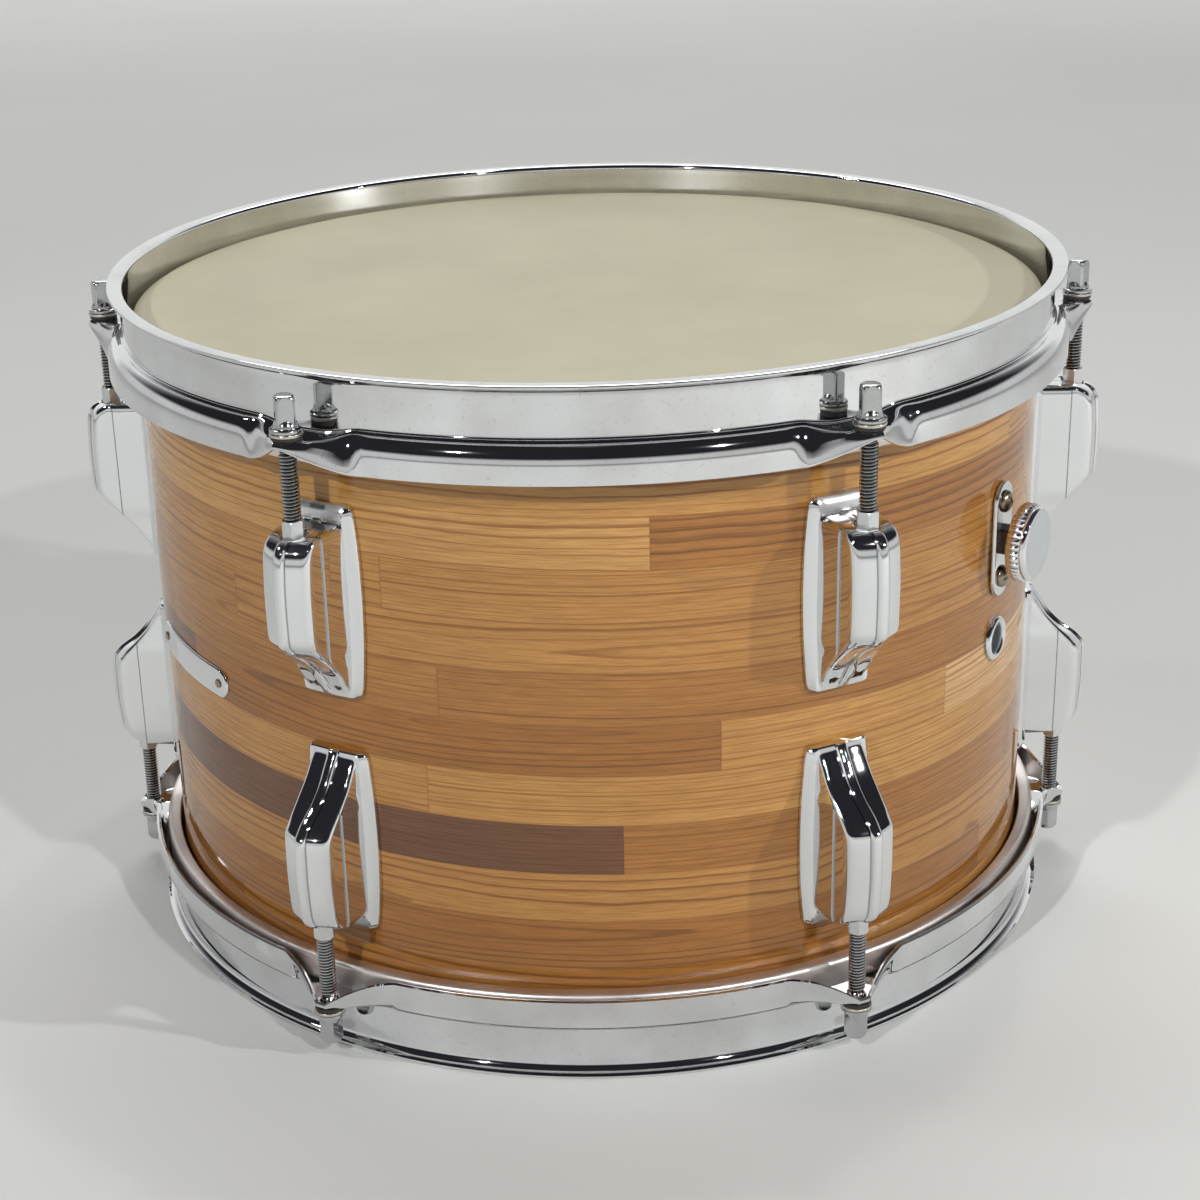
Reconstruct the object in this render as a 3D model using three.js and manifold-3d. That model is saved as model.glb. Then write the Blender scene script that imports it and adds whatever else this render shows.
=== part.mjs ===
// A small double-headed drum with a wrapped shell, standing on its lower hoop.
// Millimetres. +Z is up, z = 0 is the floor, and the drum's axis is x = y = 0.
import * as THREE from 'three';
import { mergeVertices } from 'three/addons/utils/BufferGeometryUtils.js';
import Module from 'manifold-3d';

const wasm = await Module();
wasm.setup();

// Driving dimensions
const inch = 25.4;
const clearance = 0.3;
const shellRadius = 6 * inch;
const shellDepth = 8 * inch;
const shellWall = 6.5;
const edgeInset = 3;
const edgeRound = 2.2;
const filmThickness = 0.4;
const filmStandoff = 0.5;
const rimRise = 10.1;

const lugCount = 6;
const lugGap = 18.6;
const lugWall = 5.2;
const lugHalfWidth = 12.9;
const lugStart = 41.6;
const lugLip = 5.4;
const ribHalfWidth = 1.8;
const ribRise = 1.1;
const grooveDrop = 0.8;
const flangeThickness = 2.2;
const lipShare = 0.8;
const footShare = 0.45;
const rodOffset = 14.4;

// A lug's end, then rows down its body: shares of the body's length, of the half width at flange
// and at body, and of the reach
const lugEndShares = [0.84, 0.62, 0.08];
const lugBodyShares = [
  [0, 0.93, 0.69, 0.09],
  [0.013, 0.93, 0.68, 0.72],
  [0.057, 0.95, 0.68, 0.9],
  [0.19, 0.98, 0.68, 0.98],
  [0.4, 1, 0.68, 1],
  [0.56, 0.98, 0.68, 0.98],
  [0.66, 0.96, 0.69, 0.83],
  [0.74, 0.94, 0.71, 0.6],
  [0.86, 0.91, 0.76, 0.34],
  [1, 0.84, 0.76, 0.1],
];

const hoopGauge = 1.6;
const hoopFit = 3;
const rimWidth = 3.7;
const rimBend = 2.6;
const shoulderDepth = 18;
const shoulderBend = 1.8;
const beadFall = 5;
const skirtHeight = 5;
const earLand = 0.5;
const earDrop = 1.8;
const earSpread = THREE.MathUtils.degToRad(6.9);
const earCrown = THREE.MathUtils.degToRad(1.9);
const earTip = THREE.MathUtils.degToRad(0.6);
const earSharpness = 1.7;

const channelInset = 1.3;
const channelGap = 2.4;
const channelWidth = 4.7;
const channelHeight = 8.6;
const channelWall = 1;
const channelFloor = 1.6;

const rodRadius = 2.55;
const rodPlay = 0.55;
const rodLength = 2 * inch;
const headDepth = 5.5;
const headHeight = 7.9;
const headHalfWidth = 2.9;
const headCorner = 0.8;
const headChamfer = 0.6;
const coneHeight = 1.5;
const coneRadius = 3.7;
const collarRadius = 4.9;
const collarHeight = 1.4;
const washerThickness = 1.6;
const washerSeat = 0.55;
const threadPlay = 0.1;
const nutNeckWall = 0.46;
const nutNeckRise = 3.8;
const nutSeatDepth = 4.5;
const nutShoulder = 0.78;
const nutBarrelLength = 13;

const ventGap = 7.75;
const ventBarrel = 5.2;
const ventWall = 1;
const ventLip = 2.3;
const ventRise = 1.5;
const fittingAngle = -Math.PI / lugCount;
const mufflerDepth = 66.5;
const plateHeight = 38.5;
const plateWidth = 12.5;
const plateThickness = 1.5;
const postSide = 8;
const postLength = 4.4;
const spindleRadius = 2.5;
const knobRadius = 12.8;
const knobThickness = 7;
const knobBevel = 1.5;
const armSwing = THREE.MathUtils.degToRad(40);
const armWidth = 14;
const armThickness = 1.6;
const armStandoff = 3;
const armReach = 24;
const armFoot = 9;
const armKnee = 16;
const padRadius = 12;
const padHeight = 9;

const ringSegments = 60;
const roundSegments = 20;
const smallSegments = 8;
const stationsPerLug = 12;
const crowdingShare = 0.62;
const rodSides = 8;
const nutSides = 6;
const weldTolerance = 1e-4;

// Derived places
const height = shellDepth + 2 * (clearance + filmThickness + rimRise);
const shellTop = height - rimRise - filmThickness - clearance;
const innerRadius = shellRadius - shellWall;
const rodRadial = shellRadius + rodOffset;
const rodHole = rodRadius + rodPlay;
const collarUnder = headDepth + headHeight + coneHeight + collarHeight;
const hoopWallRadius = shellRadius + hoopFit + hoopGauge / 2;
const rimRadius = hoopWallRadius + hoopGauge / 2 + rimWidth;
const channelInside = shellRadius + channelInset;
const channelOutside = channelInside + channelWidth;
const skirtMiddle = channelOutside + channelGap + hoopGauge / 2;
const skirtDepth = shoulderDepth + hoopGauge / 2 + beadFall + skirtHeight;
const earRadius = rodRadial + rodHole + earLand + hoopGauge;
const earDepth = collarUnder + clearance / 2 + washerThickness + washerSeat;
const nutBore = (rodRadius + threadPlay) / Math.cos(Math.PI / nutSides);
const nutNeckRadius = nutBore + nutNeckWall;
const nutBarrelRadius = nutNeckRadius + nutShoulder;
const lugReach = rodOffset + nutBarrelRadius + clearance + lugWall;
const lugHeight = (height - lugGap) / 2 - lugStart;
const bodyStart = lugStart + lugLip;
const lugPitch = (2 * Math.PI) / lugCount;
const mufflerHeight = shellTop - mufflerDepth;
const ventHeight = mufflerHeight - plateHeight / 2 - ventGap - ventBarrel - ventLip;

// Materials
const chrome = new THREE.MeshStandardMaterial({ color: 0xd4d6d9, roughness: 0.08, metalness: 1 });
const steel = new THREE.MeshStandardMaterial({ color: 0xb9bbbd, roughness: 0.25, metalness: 1 });
const aluminium = new THREE.MeshStandardMaterial({ color: 0xb9aeac, roughness: 0.4, metalness: 0.9 });
const wrap = new THREE.MeshStandardMaterial({ color: 0xa8713a, roughness: 0.2, metalness: 0 });
const coatedFilm = new THREE.MeshStandardMaterial({ color: 0xcfc8a8, roughness: 0.6, metalness: 0 });
const plainFilm = new THREE.MeshStandardMaterial({ color: 0xdedcd4, roughness: 0.35, metalness: 0 });
const springSteel = new THREE.MeshStandardMaterial({ color: 0x8d8f92, roughness: 0.35, metalness: 1 });
const felt = new THREE.MeshStandardMaterial({ color: 0xb8b1a4, roughness: 0.95, metalness: 0 });

const drum = new THREE.Group();

function addPart(name, geometry, material) {
  const mesh = new THREE.Mesh(geometry, material);
  mesh.name = name;
  drum.add(mesh);
}

// A solid turned about Z from a profile of [radius, z], anticlockwise
function turned(profile, segments) {
  const points = profile.map(([radius, z]) => new THREE.Vector2(radius, z));
  return new THREE.LatheGeometry(points, segments).rotateX(Math.PI / 2);
}

function closed(profile) {
  return [...profile, profile[0]];
}

// A ring whose section changes around the axis
function shapedRing(sectionAt, angles) {
  const rows = sectionAt(0).length;
  const blank = Array.from({ length: rows }, (_, row) => new THREE.Vector2(1, row));
  const geometry = new THREE.LatheGeometry(blank, angles.length);
  const position = geometry.attributes.position;
  for (let index = 0; index < position.count; index += 1) {
    const angle = angles[Math.floor(index / rows) % angles.length];
    const [radius, z] = sectionAt(angle)[index % rows];
    position.setXYZ(index, radius * Math.cos(angle), radius * Math.sin(angle), z);
  }
  return geometry;
}

// A solid through sections of equal point counts, each anticlockwise seen from above
function loft(sections) {
  const count = sections[0].length;
  const step = (2 * Math.PI) / count;
  const outline = Array.from({ length: count }, (_, index) => (
    new THREE.Vector2(Math.cos(index * step), Math.sin(index * step))
  ));
  const layers = sections.length - 1;
  const settings = { depth: 1, steps: layers, bevelEnabled: false };
  const geometry = new THREE.ExtrudeGeometry(new THREE.Shape(outline), settings);
  const position = geometry.attributes.position;
  for (let index = 0; index < position.count; index += 1) {
    const turn = Math.atan2(position.getY(index), position.getX(index)) / step;
    const point = (Math.round(turn) + count) % count;
    const layer = Math.round(position.getZ(index) * layers);
    position.setXYZ(index, ...sections[layer][point]);
  }
  return geometry;
}

function toSolid(geometry) {
  const bare = new THREE.BufferGeometry();
  bare.setAttribute('position', geometry.attributes.position);
  bare.setIndex(geometry.index);
  const merged = mergeVertices(bare, weldTolerance);
  const corners = merged.index.array;
  const triangles = [];
  for (let first = 0; first < corners.length; first += 3) {
    const [a, b, c] = corners.slice(first, first + 3);
    if (a !== b && b !== c && c !== a) triangles.push(a, b, c);
  }
  return new wasm.Manifold(new wasm.Mesh({
    numProp: 3,
    vertProperties: new Float32Array(merged.attributes.position.array),
    triVerts: new Uint32Array(triangles),
  }));
}

function toGeometry(solid) {
  const mesh = solid.getMesh();
  const geometry = new THREE.BufferGeometry();
  const places = new Float32Array((mesh.vertProperties.length / mesh.numProp) * 3);
  for (let index = 0; index < places.length / 3; index += 1) {
    const start = index * mesh.numProp;
    places.set(mesh.vertProperties.slice(start, start + 3), index * 3);
  }
  geometry.setAttribute('position', new THREE.BufferAttribute(places, 3));
  geometry.setIndex(Array.from(mesh.triVerts));
  geometry.computeVertexNormals();
  return geometry;
}

function cut(geometry, cutters) {
  return toGeometry(cutters.reduce((solid, cutter) => solid.subtract(toSolid(cutter)), toSolid(geometry)));
}

function joined(geometries) {
  const [first, ...others] = geometries.map(toSolid);
  return toGeometry(others.reduce((solid, other) => solid.add(other), first));
}

// The corner radius of a faceted hole whose flats clear a shaft
function clearing(shaftRadius, segments) {
  return (shaftRadius + clearance) / Math.cos(Math.PI / segments);
}

// A cylinder along Z between two heights
function pillar(radius, low, high, segments) {
  return turned([[0, low], [radius, low], [radius, high], [0, high]], segments);
}

// Turns a shape built along Z so that it points out of the shell at an angle and height
function pointedOut(geometry, angle, z) {
  return geometry.rotateY(Math.PI / 2).rotateZ(angle).translate(0, 0, z);
}

// The same shape on the other head of the drum
function onBottom(geometry) {
  return geometry.clone().rotateX(Math.PI).translate(0, 0, height);
}

function addPair(name, geometry, topMaterial, bottomMaterial) {
  addPart(`batter_${name}`, geometry, topMaterial);
  addPart(`resonant_${name}`, onBottom(geometry), bottomMaterial);
}

// Shell
function shellBlank() {
  const peak = shellRadius - edgeInset;
  const bevel = peak - innerRadius;
  const end = [
    [shellRadius, shellTop - edgeRound],
    [peak, shellTop],
    [innerRadius, shellTop - bevel],
  ];
  const otherEnd = end.map(([radius, z]) => [radius, height - z]).reverse();
  return turned(closed([...otherEnd, ...end]), ringSegments);
}

function addShell() {
  const middle = shellRadius - shellWall / 2;
  const through = [middle - shellWall, middle + shellWall];
  const spindleHole = pillar(clearing(spindleRadius, smallSegments), ...through, smallSegments);
  const vent = pillar(clearing(ventBarrel, roundSegments), ...through, roundSegments);
  addPart('shell', cut(shellBlank(), [
    pointedOut(spindleHole, fittingAngle, mufflerHeight),
    pointedOut(vent, fittingAngle, ventHeight),
  ]), wrap);
}

// Heads: a film glued into a channel ring that the hoop pulls down
function addHeads() {
  const mouth = height - shoulderDepth - hoopGauge - 2 * clearance;
  const floor = mouth - channelHeight;
  const slot = [channelInside + channelWall, channelOutside - channelWall];
  const channel = closed([
    [channelInside, floor],
    [channelOutside, floor],
    [channelOutside, mouth],
    [slot[1], mouth],
    [slot[1], floor + channelFloor],
    [slot[0], floor + channelFloor],
    [slot[0], mouth],
    [channelInside, mouth],
  ]);
  addPair('flesh_hoop', turned(channel, ringSegments), aluminium, aluminium);
  const top = height - rimRise;
  const collar = shellRadius + 2 * clearance;
  const foot = floor + channelFloor + 2 * clearance;
  const skirt = slot[0] + filmStandoff;
  const under = [
    [0, top - filmThickness],
    [shellRadius - edgeInset, top - filmThickness],
    [collar, top - filmThickness - edgeRound - clearance],
    [skirt, mouth],
    [skirt, foot],
  ];
  const over = [
    [skirt + filmThickness, foot],
    [skirt + filmThickness, mouth],
    [collar + filmThickness, top - edgeRound - clearance],
    [shellRadius - edgeInset, top],
    [0, top],
  ];
  addPair('film', turned([...under, ...over], ringSegments), coatedFilm, plainFilm);
}

// Triple-flange hoops
function blend(from, to, share) {
  return from.map((value, index) => value + (to[index] - value) * share);
}

function arc(centre, radii, from, to, steps) {
  return Array.from({ length: steps + 1 }, (_, step) => {
    const angle = from + ((to - from) * step) / steps;
    return [centre[0] + radii[0] * Math.cos(angle), centre[1] + radii[1] * Math.sin(angle)];
  });
}

// Middle line of the sheet as [radius, depth below the rim]; its last points form bead and skirt
function hoopLine(flat, edge) {
  const half = hoopGauge / 2;
  const shoulderRadius = hoopWallRadius + shoulderBend;
  const beadReach = skirtMiddle - shoulderRadius;
  const beadCentre = [shoulderRadius, shoulderDepth + half + beadFall];
  const bead = arc(beadCentre, [beadReach, beadFall], -Math.PI / 3, 0, 2);
  const earLine = earDepth + half;
  const ear = [
    [rodRadial - rodHole, earLine],
    [rodRadial + rodHole, earLine],
    [earRadius - hoopGauge, earLine + earDrop / 2],
  ];
  const crown = [[flat, flat], [edge, flat], [edge, edge]];
  const shaped = bead.map((point, index) => [
    point[0] + (ear[index][0] - point[0]) * crown[index][0],
    point[1] + (ear[index][1] - point[1]) * crown[index][1],
  ]);
  const lip = blend([skirtMiddle, skirtDepth], [earRadius - half, earLine + earDrop], edge);
  return [
    [rimRadius - half / 2, half],
    ...arc([hoopWallRadius + rimBend, half + rimBend], [rimBend, rimBend], -Math.PI / 2, -Math.PI, 1),
    [hoopWallRadius, shoulderDepth + half - shoulderBend],
    blend([shoulderRadius, shoulderDepth + half], [shoulderRadius, earLine], flat),
    ...shaped,
    lip,
  ];
}

// The closed outline of a sheet of one gauge around a middle line, mitred at its corners
function thickened(line) {
  const half = hoopGauge / 2;
  const normals = line.slice(1).map(([radius, depth], index) => (
    new THREE.Vector2(depth - line[index][1], line[index][0] - radius).normalize()
  ));
  const offsets = line.map((_, index) => {
    const before = normals[Math.max(index - 1, 0)];
    const after = normals[Math.min(index, normals.length - 1)];
    return before.clone().add(after).multiplyScalar(half / (1 + before.dot(after)));
  });
  const inner = line.map(([radius, depth], index) => [radius + offsets[index].x, depth + offsets[index].y]);
  const outer = line.map(([radius, depth], index) => [radius - offsets[index].x, depth - offsets[index].y]);
  return [...inner.reverse(), ...outer];
}

function toNearestLug(angle) {
  return Math.abs(angle - Math.round(angle / lugPitch) * lugPitch);
}

function hoopSection(angle) {
  const away = toNearestLug(angle);
  const flat = 1 - THREE.MathUtils.smoothstep(away, earCrown, earSpread);
  const edge = Math.max(0, 1 - Math.max(0, away - earTip) / earSpread) ** earSharpness;
  return closed(thickened(hoopLine(flat, edge))).map(([radius, depth]) => [radius, height - depth]);
}

function hoopAngles() {
  const count = lugCount * stationsPerLug;
  return Array.from({ length: count }, (_, index) => {
    const even = (index / count) * 2 * Math.PI;
    return even - (crowdingShare * Math.sin(lugCount * even)) / lugCount;
  });
}

function addHoops() {
  const holes = Array.from({ length: lugCount }, (_, index) => (
    pillar(rodHole, height - skirtDepth, height - headDepth, smallSegments)
      .translate(rodRadial, 0, 0)
      .rotateZ(index * lugPitch)
  ));
  addPair('hoop', cut(shapedRing(hoopSection, hoopAngles()), holes), chrome, chrome);
}

// Lugs
function lugSection(depth, [flangeShare, bodyShare, crestShare]) {
  const flange = lugHalfWidth * flangeShare;
  const body = lugHalfWidth * bodyShare;
  const crest = lugReach * crestShare;
  const lip = Math.min(crest * lipShare, flangeThickness);
  const land = Math.max(crest - ribRise, lip);
  const groove = Math.max(land - grooveDrop, lip);
  const foot = THREE.MathUtils.lerp(body, flange, footShare);
  const crease = Math.max(land / 2, lip);
  const half = [
    [flange, 0],
    [flange, lip],
    [foot, lip],
    [(body + foot) / 2, crease],
    [body - ribRise / 2, land],
    [ribHalfWidth, groove],
    [ribHalfWidth - ribRise / 4, crest],
  ];
  const outline = [...half, ...half.map(([x, y]) => [-x, y]).reverse(), [0, 0]];
  return outline.map(([x, y]) => {
    const sag = shellRadius - Math.sqrt(shellRadius ** 2 - x ** 2);
    return [shellRadius + clearance + y - sag, -x, height - depth];
  });
}

function lugBlank() {
  const rows = lugBodyShares.map(([along, ...shares]) => (
    lugSection(bodyStart + (lugHeight - lugLip) * along, shares)
  ));
  return loft([lugSection(lugStart, lugEndShares), ...rows].reverse());
}

function lugGeometry() {
  const neckSeat = height - bodyStart - nutSeatDepth;
  const neckHole = clearing(nutNeckRadius, smallSegments);
  const neck = pillar(neckHole, neckSeat - clearance, height - lugStart, smallSegments);
  const rodTip = height - collarUnder - rodLength;
  const low = Math.min(rodTip, neckSeat - clearance - nutBarrelLength) - clearance;
  const barrel = pillar(clearing(nutBarrelRadius, smallSegments), low, neckSeat, smallSegments);
  const cutters = [neck, barrel].map((cutter) => cutter.translate(rodRadial, 0, 0));
  return cut(lugBlank(), cutters);
}

function nutGeometry() {
  const seat = height - bodyStart - nutSeatDepth - clearance;
  return turned(closed([
    [nutBore, seat - nutBarrelLength],
    [nutBarrelRadius, seat - nutBarrelLength],
    [nutBarrelRadius, seat],
    [nutNeckRadius, seat],
    [nutNeckRadius, height - bodyStart + nutNeckRise],
    [nutBore, height - bodyStart + nutNeckRise],
  ]), nutSides).translate(rodRadial, 0, 0);
}

// Tension rods: eight-sided sections; the head's are squares with cut corners
function rodSection(radius, z) {
  return Array.from({ length: rodSides }, (_, index) => {
    const angle = ((2 * index + 1) * Math.PI) / rodSides;
    return [radius * Math.cos(angle), radius * Math.sin(angle), z];
  });
}

function headSection(halfWidth, z) {
  const cornered = halfWidth - headCorner;
  const half = [
    [halfWidth, cornered],
    [cornered, halfWidth],
    [-cornered, halfWidth],
    [-halfWidth, cornered],
  ];
  const otherHalf = half.map(([x, y]) => [-x, -y]);
  return [...half, ...otherHalf].map(([x, y]) => [x, y, z]);
}

function rodGeometry() {
  const under = height - collarUnder;
  const coneTop = under + collarHeight + coneHeight;
  const sections = [
    rodSection(rodRadius - headChamfer, under - rodLength),
    rodSection(rodRadius, under - rodLength + headChamfer),
    rodSection(rodRadius, under),
    rodSection(collarRadius, under),
    rodSection(collarRadius, under + collarHeight),
    rodSection(coneRadius, coneTop),
    headSection(headHalfWidth, coneTop),
    headSection(headHalfWidth, height - headDepth - headChamfer),
    headSection(headHalfWidth - headChamfer, height - headDepth),
  ];
  return loft(sections).translate(rodRadial, 0, 0);
}

function washerGeometry() {
  const top = height - collarUnder - clearance / 2;
  return turned(closed([
    [rodHole, top - washerThickness],
    [collarRadius, top - washerThickness],
    [collarRadius, top],
    [rodHole, top],
  ]), smallSegments).translate(rodRadial, 0, 0);
}

function addTensioners() {
  const kinds = [
    ['lug', lugGeometry(), chrome],
    ['swivel_nut', nutGeometry(), steel],
    ['tension_rod', rodGeometry(), steel],
    ['washer', washerGeometry(), steel],
  ];
  for (let index = 0; index < lugCount; index += 1) {
    kinds.forEach(([kind, geometry, material]) => {
      const placed = geometry.clone().rotateZ(index * lugPitch);
      addPart(`batter_${kind}_${index + 1}`, placed, material);
      addPart(`resonant_${kind}_${index + 1}`, onBottom(placed), material);
    });
  }
}

// Muffler: an outside plate and knob, and an inside arm with a felt pad that the knob turns
function plateGeometry() {
  const low = shellRadius + clearance;
  const straight = (plateHeight - plateWidth) / 2;
  const outline = new THREE.Shape();
  outline.absarc(0, straight, plateWidth / 2, 0, Math.PI, false);
  outline.absarc(0, -straight, plateWidth / 2, Math.PI, 2 * Math.PI, false);
  const settings = { depth: plateThickness, bevelEnabled: false, curveSegments: smallSegments };
  const plate = new THREE.ExtrudeGeometry(outline, settings).translate(0, 0, low);
  const postDepth = postLength + plateThickness;
  const post = new THREE.BoxGeometry(postSide, postSide, postDepth).translate(0, 0, low + postDepth / 2);
  const boreRadius = clearing(spindleRadius, smallSegments);
  const bore = pillar(boreRadius, low - clearance, low + postDepth + clearance, smallSegments);
  return cut(joined([plate, post]), [bore]).rotateZ(Math.PI / 2);
}

function knobGeometry() {
  const back = shellRadius + 2 * clearance + plateThickness + postLength;
  const face = back + knobThickness;
  const armFace = innerRadius - armStandoff;
  const tail = armFace - armThickness - clearance;
  return turned([
    [0, tail - armThickness],
    [2 * spindleRadius, tail - armThickness],
    [2 * spindleRadius, tail],
    [spindleRadius, tail],
    [spindleRadius, back],
    [knobRadius - knobBevel / 2, back],
    [knobRadius, back + knobBevel / 2],
    [knobRadius, face - knobBevel],
    [knobRadius - knobBevel, face],
    [0, face],
  ], roundSegments);
}

// The arm's side outline is [inward from the shell, up from the spindle], drawn upright at the head
function armOutline() {
  const top = padUnder() - clearance;
  const end = armReach + padRadius;
  return [
    [armStandoff, -armFoot],
    [armStandoff, armKnee],
    [armReach, top],
    [end, top],
    [end, top - armThickness],
    [armReach + armThickness / 2, top - armThickness],
    [armStandoff + armThickness, armKnee - armThickness / 2],
    [armStandoff + armThickness, -armFoot],
  ];
}

// The pad's edge swings past just under the film, so its face stands a little lower still
function padUnder() {
  return Math.sqrt(mufflerDepth ** 2 - padRadius ** 2) - padHeight;
}

function armGeometry() {
  const shape = new THREE.Shape(armOutline().map(([inward, up]) => new THREE.Vector2(inward, up)));
  const strip = new THREE.ExtrudeGeometry(shape, { depth: armWidth, bevelEnabled: false });
  strip.translate(-innerRadius, 0, -armWidth / 2).rotateX(Math.PI / 2).rotateZ(Math.PI);
  const bore = pillar(clearing(spindleRadius, smallSegments), 0, shellRadius, smallSegments);
  return cut(strip, [bore.rotateY(Math.PI / 2)]);
}

function padGeometry() {
  const centre = innerRadius - armReach - padRadius;
  const low = padUnder();
  return pillar(padRadius, low, low + padHeight, roundSegments).translate(centre, 0, 0);
}

function addMuffler() {
  const swung = (geometry) => (
    geometry.rotateX(armSwing).rotateZ(fittingAngle).translate(0, 0, mufflerHeight)
  );
  addPart('muffler_plate', pointedOut(plateGeometry(), fittingAngle, mufflerHeight), chrome);
  addPart('muffler_knob', pointedOut(knobGeometry(), fittingAngle, mufflerHeight), chrome);
  addPart('muffler_arm', swung(armGeometry()), springSteel);
  addPart('muffler_pad', swung(padGeometry()), felt);
}

function addVent() {
  const outer = shellRadius + clearance;
  const flange = ventBarrel + ventLip;
  const bore = ventBarrel - ventWall;
  const rim = turned(closed([
    [bore, innerRadius],
    [ventBarrel, innerRadius],
    [ventBarrel, outer],
    [flange, outer],
    [flange - ventRise / 2, outer + ventRise],
    [ventBarrel, outer + ventRise],
    [bore, outer],
  ]), roundSegments);
  addPart('vent_grommet', pointedOut(rim, fittingAngle, ventHeight), chrome);
}

addShell();
addHeads();
addHoops();
addTensioners();
addMuffler();
addVent();

export default drum;
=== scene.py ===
"""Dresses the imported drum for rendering: fine shapes, materials, floor, lamps and camera.

Lengths are millimetres until a mesh or an object is made, and z = 0 is the floor. Depths are
measured from the plane of the upper rim down. The lower half is the upper half turned over.
"""
import math

import bmesh
import bpy
from mathutils import Matrix, Vector, noise


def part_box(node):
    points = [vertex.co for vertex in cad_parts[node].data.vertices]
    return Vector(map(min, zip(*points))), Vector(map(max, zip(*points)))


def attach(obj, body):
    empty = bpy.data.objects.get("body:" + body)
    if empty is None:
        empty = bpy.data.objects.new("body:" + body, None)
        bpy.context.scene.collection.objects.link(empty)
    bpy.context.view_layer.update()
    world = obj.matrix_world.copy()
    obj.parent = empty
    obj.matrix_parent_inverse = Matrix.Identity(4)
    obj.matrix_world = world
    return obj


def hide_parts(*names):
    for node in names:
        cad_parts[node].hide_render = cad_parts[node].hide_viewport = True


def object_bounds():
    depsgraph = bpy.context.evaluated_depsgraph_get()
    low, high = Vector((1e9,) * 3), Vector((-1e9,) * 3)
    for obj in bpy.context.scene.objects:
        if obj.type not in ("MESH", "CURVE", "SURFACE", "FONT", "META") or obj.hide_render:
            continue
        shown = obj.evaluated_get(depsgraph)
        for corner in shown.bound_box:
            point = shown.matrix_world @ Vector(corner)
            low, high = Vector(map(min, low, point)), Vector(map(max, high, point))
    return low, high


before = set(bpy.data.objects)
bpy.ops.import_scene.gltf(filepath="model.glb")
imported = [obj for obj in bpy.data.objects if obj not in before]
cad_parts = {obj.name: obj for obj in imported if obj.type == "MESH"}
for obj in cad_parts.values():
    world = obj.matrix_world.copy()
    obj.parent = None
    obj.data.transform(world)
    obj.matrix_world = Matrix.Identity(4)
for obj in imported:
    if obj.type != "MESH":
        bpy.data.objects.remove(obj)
cad_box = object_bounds()
scene = bpy.context.scene

MM = 0.001
TAU = 2 * math.pi


def cad_low(node):
    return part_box(node)[0] / MM


def cad_high(node):
    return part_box(node)[1] / MM


# Sizes that the frame gives, and those that it can't show
HEIGHT = cad_box[1][2] / MM
SHELL_RADIUS = cad_high("shell").x
SHELL_TOP = cad_high("shell").z
SHELL_WALL = 6.5
EDGE_INSET = 3
EDGE_ROUND = 2.2
INNER_RADIUS = SHELL_RADIUS - SHELL_WALL
LUG_COUNT = 6
LUG_PITCH = TAU / LUG_COUNT
ROD_RADIAL = (cad_low("batter_washer_1").x + cad_high("batter_washer_1").x) / 2
FITTING_ANGLE = -LUG_PITCH / 2
PLATE_CENTRE = (cad_low("muffler_plate").z + cad_high("muffler_plate").z) / 2
VENT_CENTRE = (cad_low("vent_grommet").z + cad_high("vent_grommet").z) / 2
SPINDLE_HOLE = 3
VENT_HOLE = 5.6

# Hoops. The ears reach out from the shoulder at the lugs, and the skirt flares just beside them.
COLLAR_UNDER = 16.3
WASHER_STACK = 2.3
HOOP_GAUGE = 1.6
HALF_GAUGE = HOOP_GAUGE / 2
HOOP_WALL = SHELL_RADIUS + 3.8
RIM_RADIUS = HOOP_WALL + HALF_GAUGE + 3.7
RIM_LIP = 1.0
RIM_SLOPE = 3.2
RIM_BEND = 1.4
WALL_DEPTHS = (4.4, 9, 13, 15)
SHOULDER_DEPTH = 16.8
SHOULDER_BEND = 1.8
BEAD_FALL = 6.2
FLARE = 1.0
FLARE_BEND = 1.6
FLARE_START = math.radians(6.2)
FLARE_END = math.radians(7.8)
SKIRT_MIDDLE = SHELL_RADIUS + 9.2
SKIRT_DEPTH = HEIGHT - cad_low("batter_hoop").z
EAR_RADIUS = cad_high("batter_hoop").x
EAR_LINE = COLLAR_UNDER + WASHER_STACK + HALF_GAUGE
EAR_DROP = 1.4
EAR_BEND = 1.2
EAR_SPREAD = math.radians(6.9)
EAR_CROWN = math.radians(1.9)
EAR_TIP = math.radians(0.6)
EAR_SHARPNESS = 1.7
ROD_HOLE = 3.1
HOLE_TOP = 15
HOLE_FLOOR = 30

# Flesh hoops and heads
CHANNEL_INSIDE = SHELL_RADIUS + 1.3
CHANNEL_OUTSIDE = cad_high("batter_flesh_hoop").x
CHANNEL_MOUTH = cad_high("batter_flesh_hoop").z
CHANNEL_FLOOR = cad_low("batter_flesh_hoop").z
FILM_TOP = cad_high("batter_film").z
FILM_THICKNESS = 0.4

# Lugs
LUG_START = HEIGHT - cad_high("batter_lug_1").z
LUG_END = HEIGHT - cad_low("batter_lug_1").z
LUG_BODY_START = LUG_START + 5.4
LUG_SEAT = SHELL_RADIUS + 0.3
LUG_NECK = 4.8
LUG_BORE = 4.6
LUG_NECK_BORE = 4.1
LUG_BEVEL_FOOT = 1.3
LUG_BEVEL_TOP = 3.0
RIB_CORNER = 2.1
LEDGE_HEIGHT = 12.7
LEDGE_WIDTH = 0.6
SIDE_DRAFT = 0.15
LUG_SCREW_DEPTHS = (LUG_START + 14, LUG_END - 16)

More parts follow.
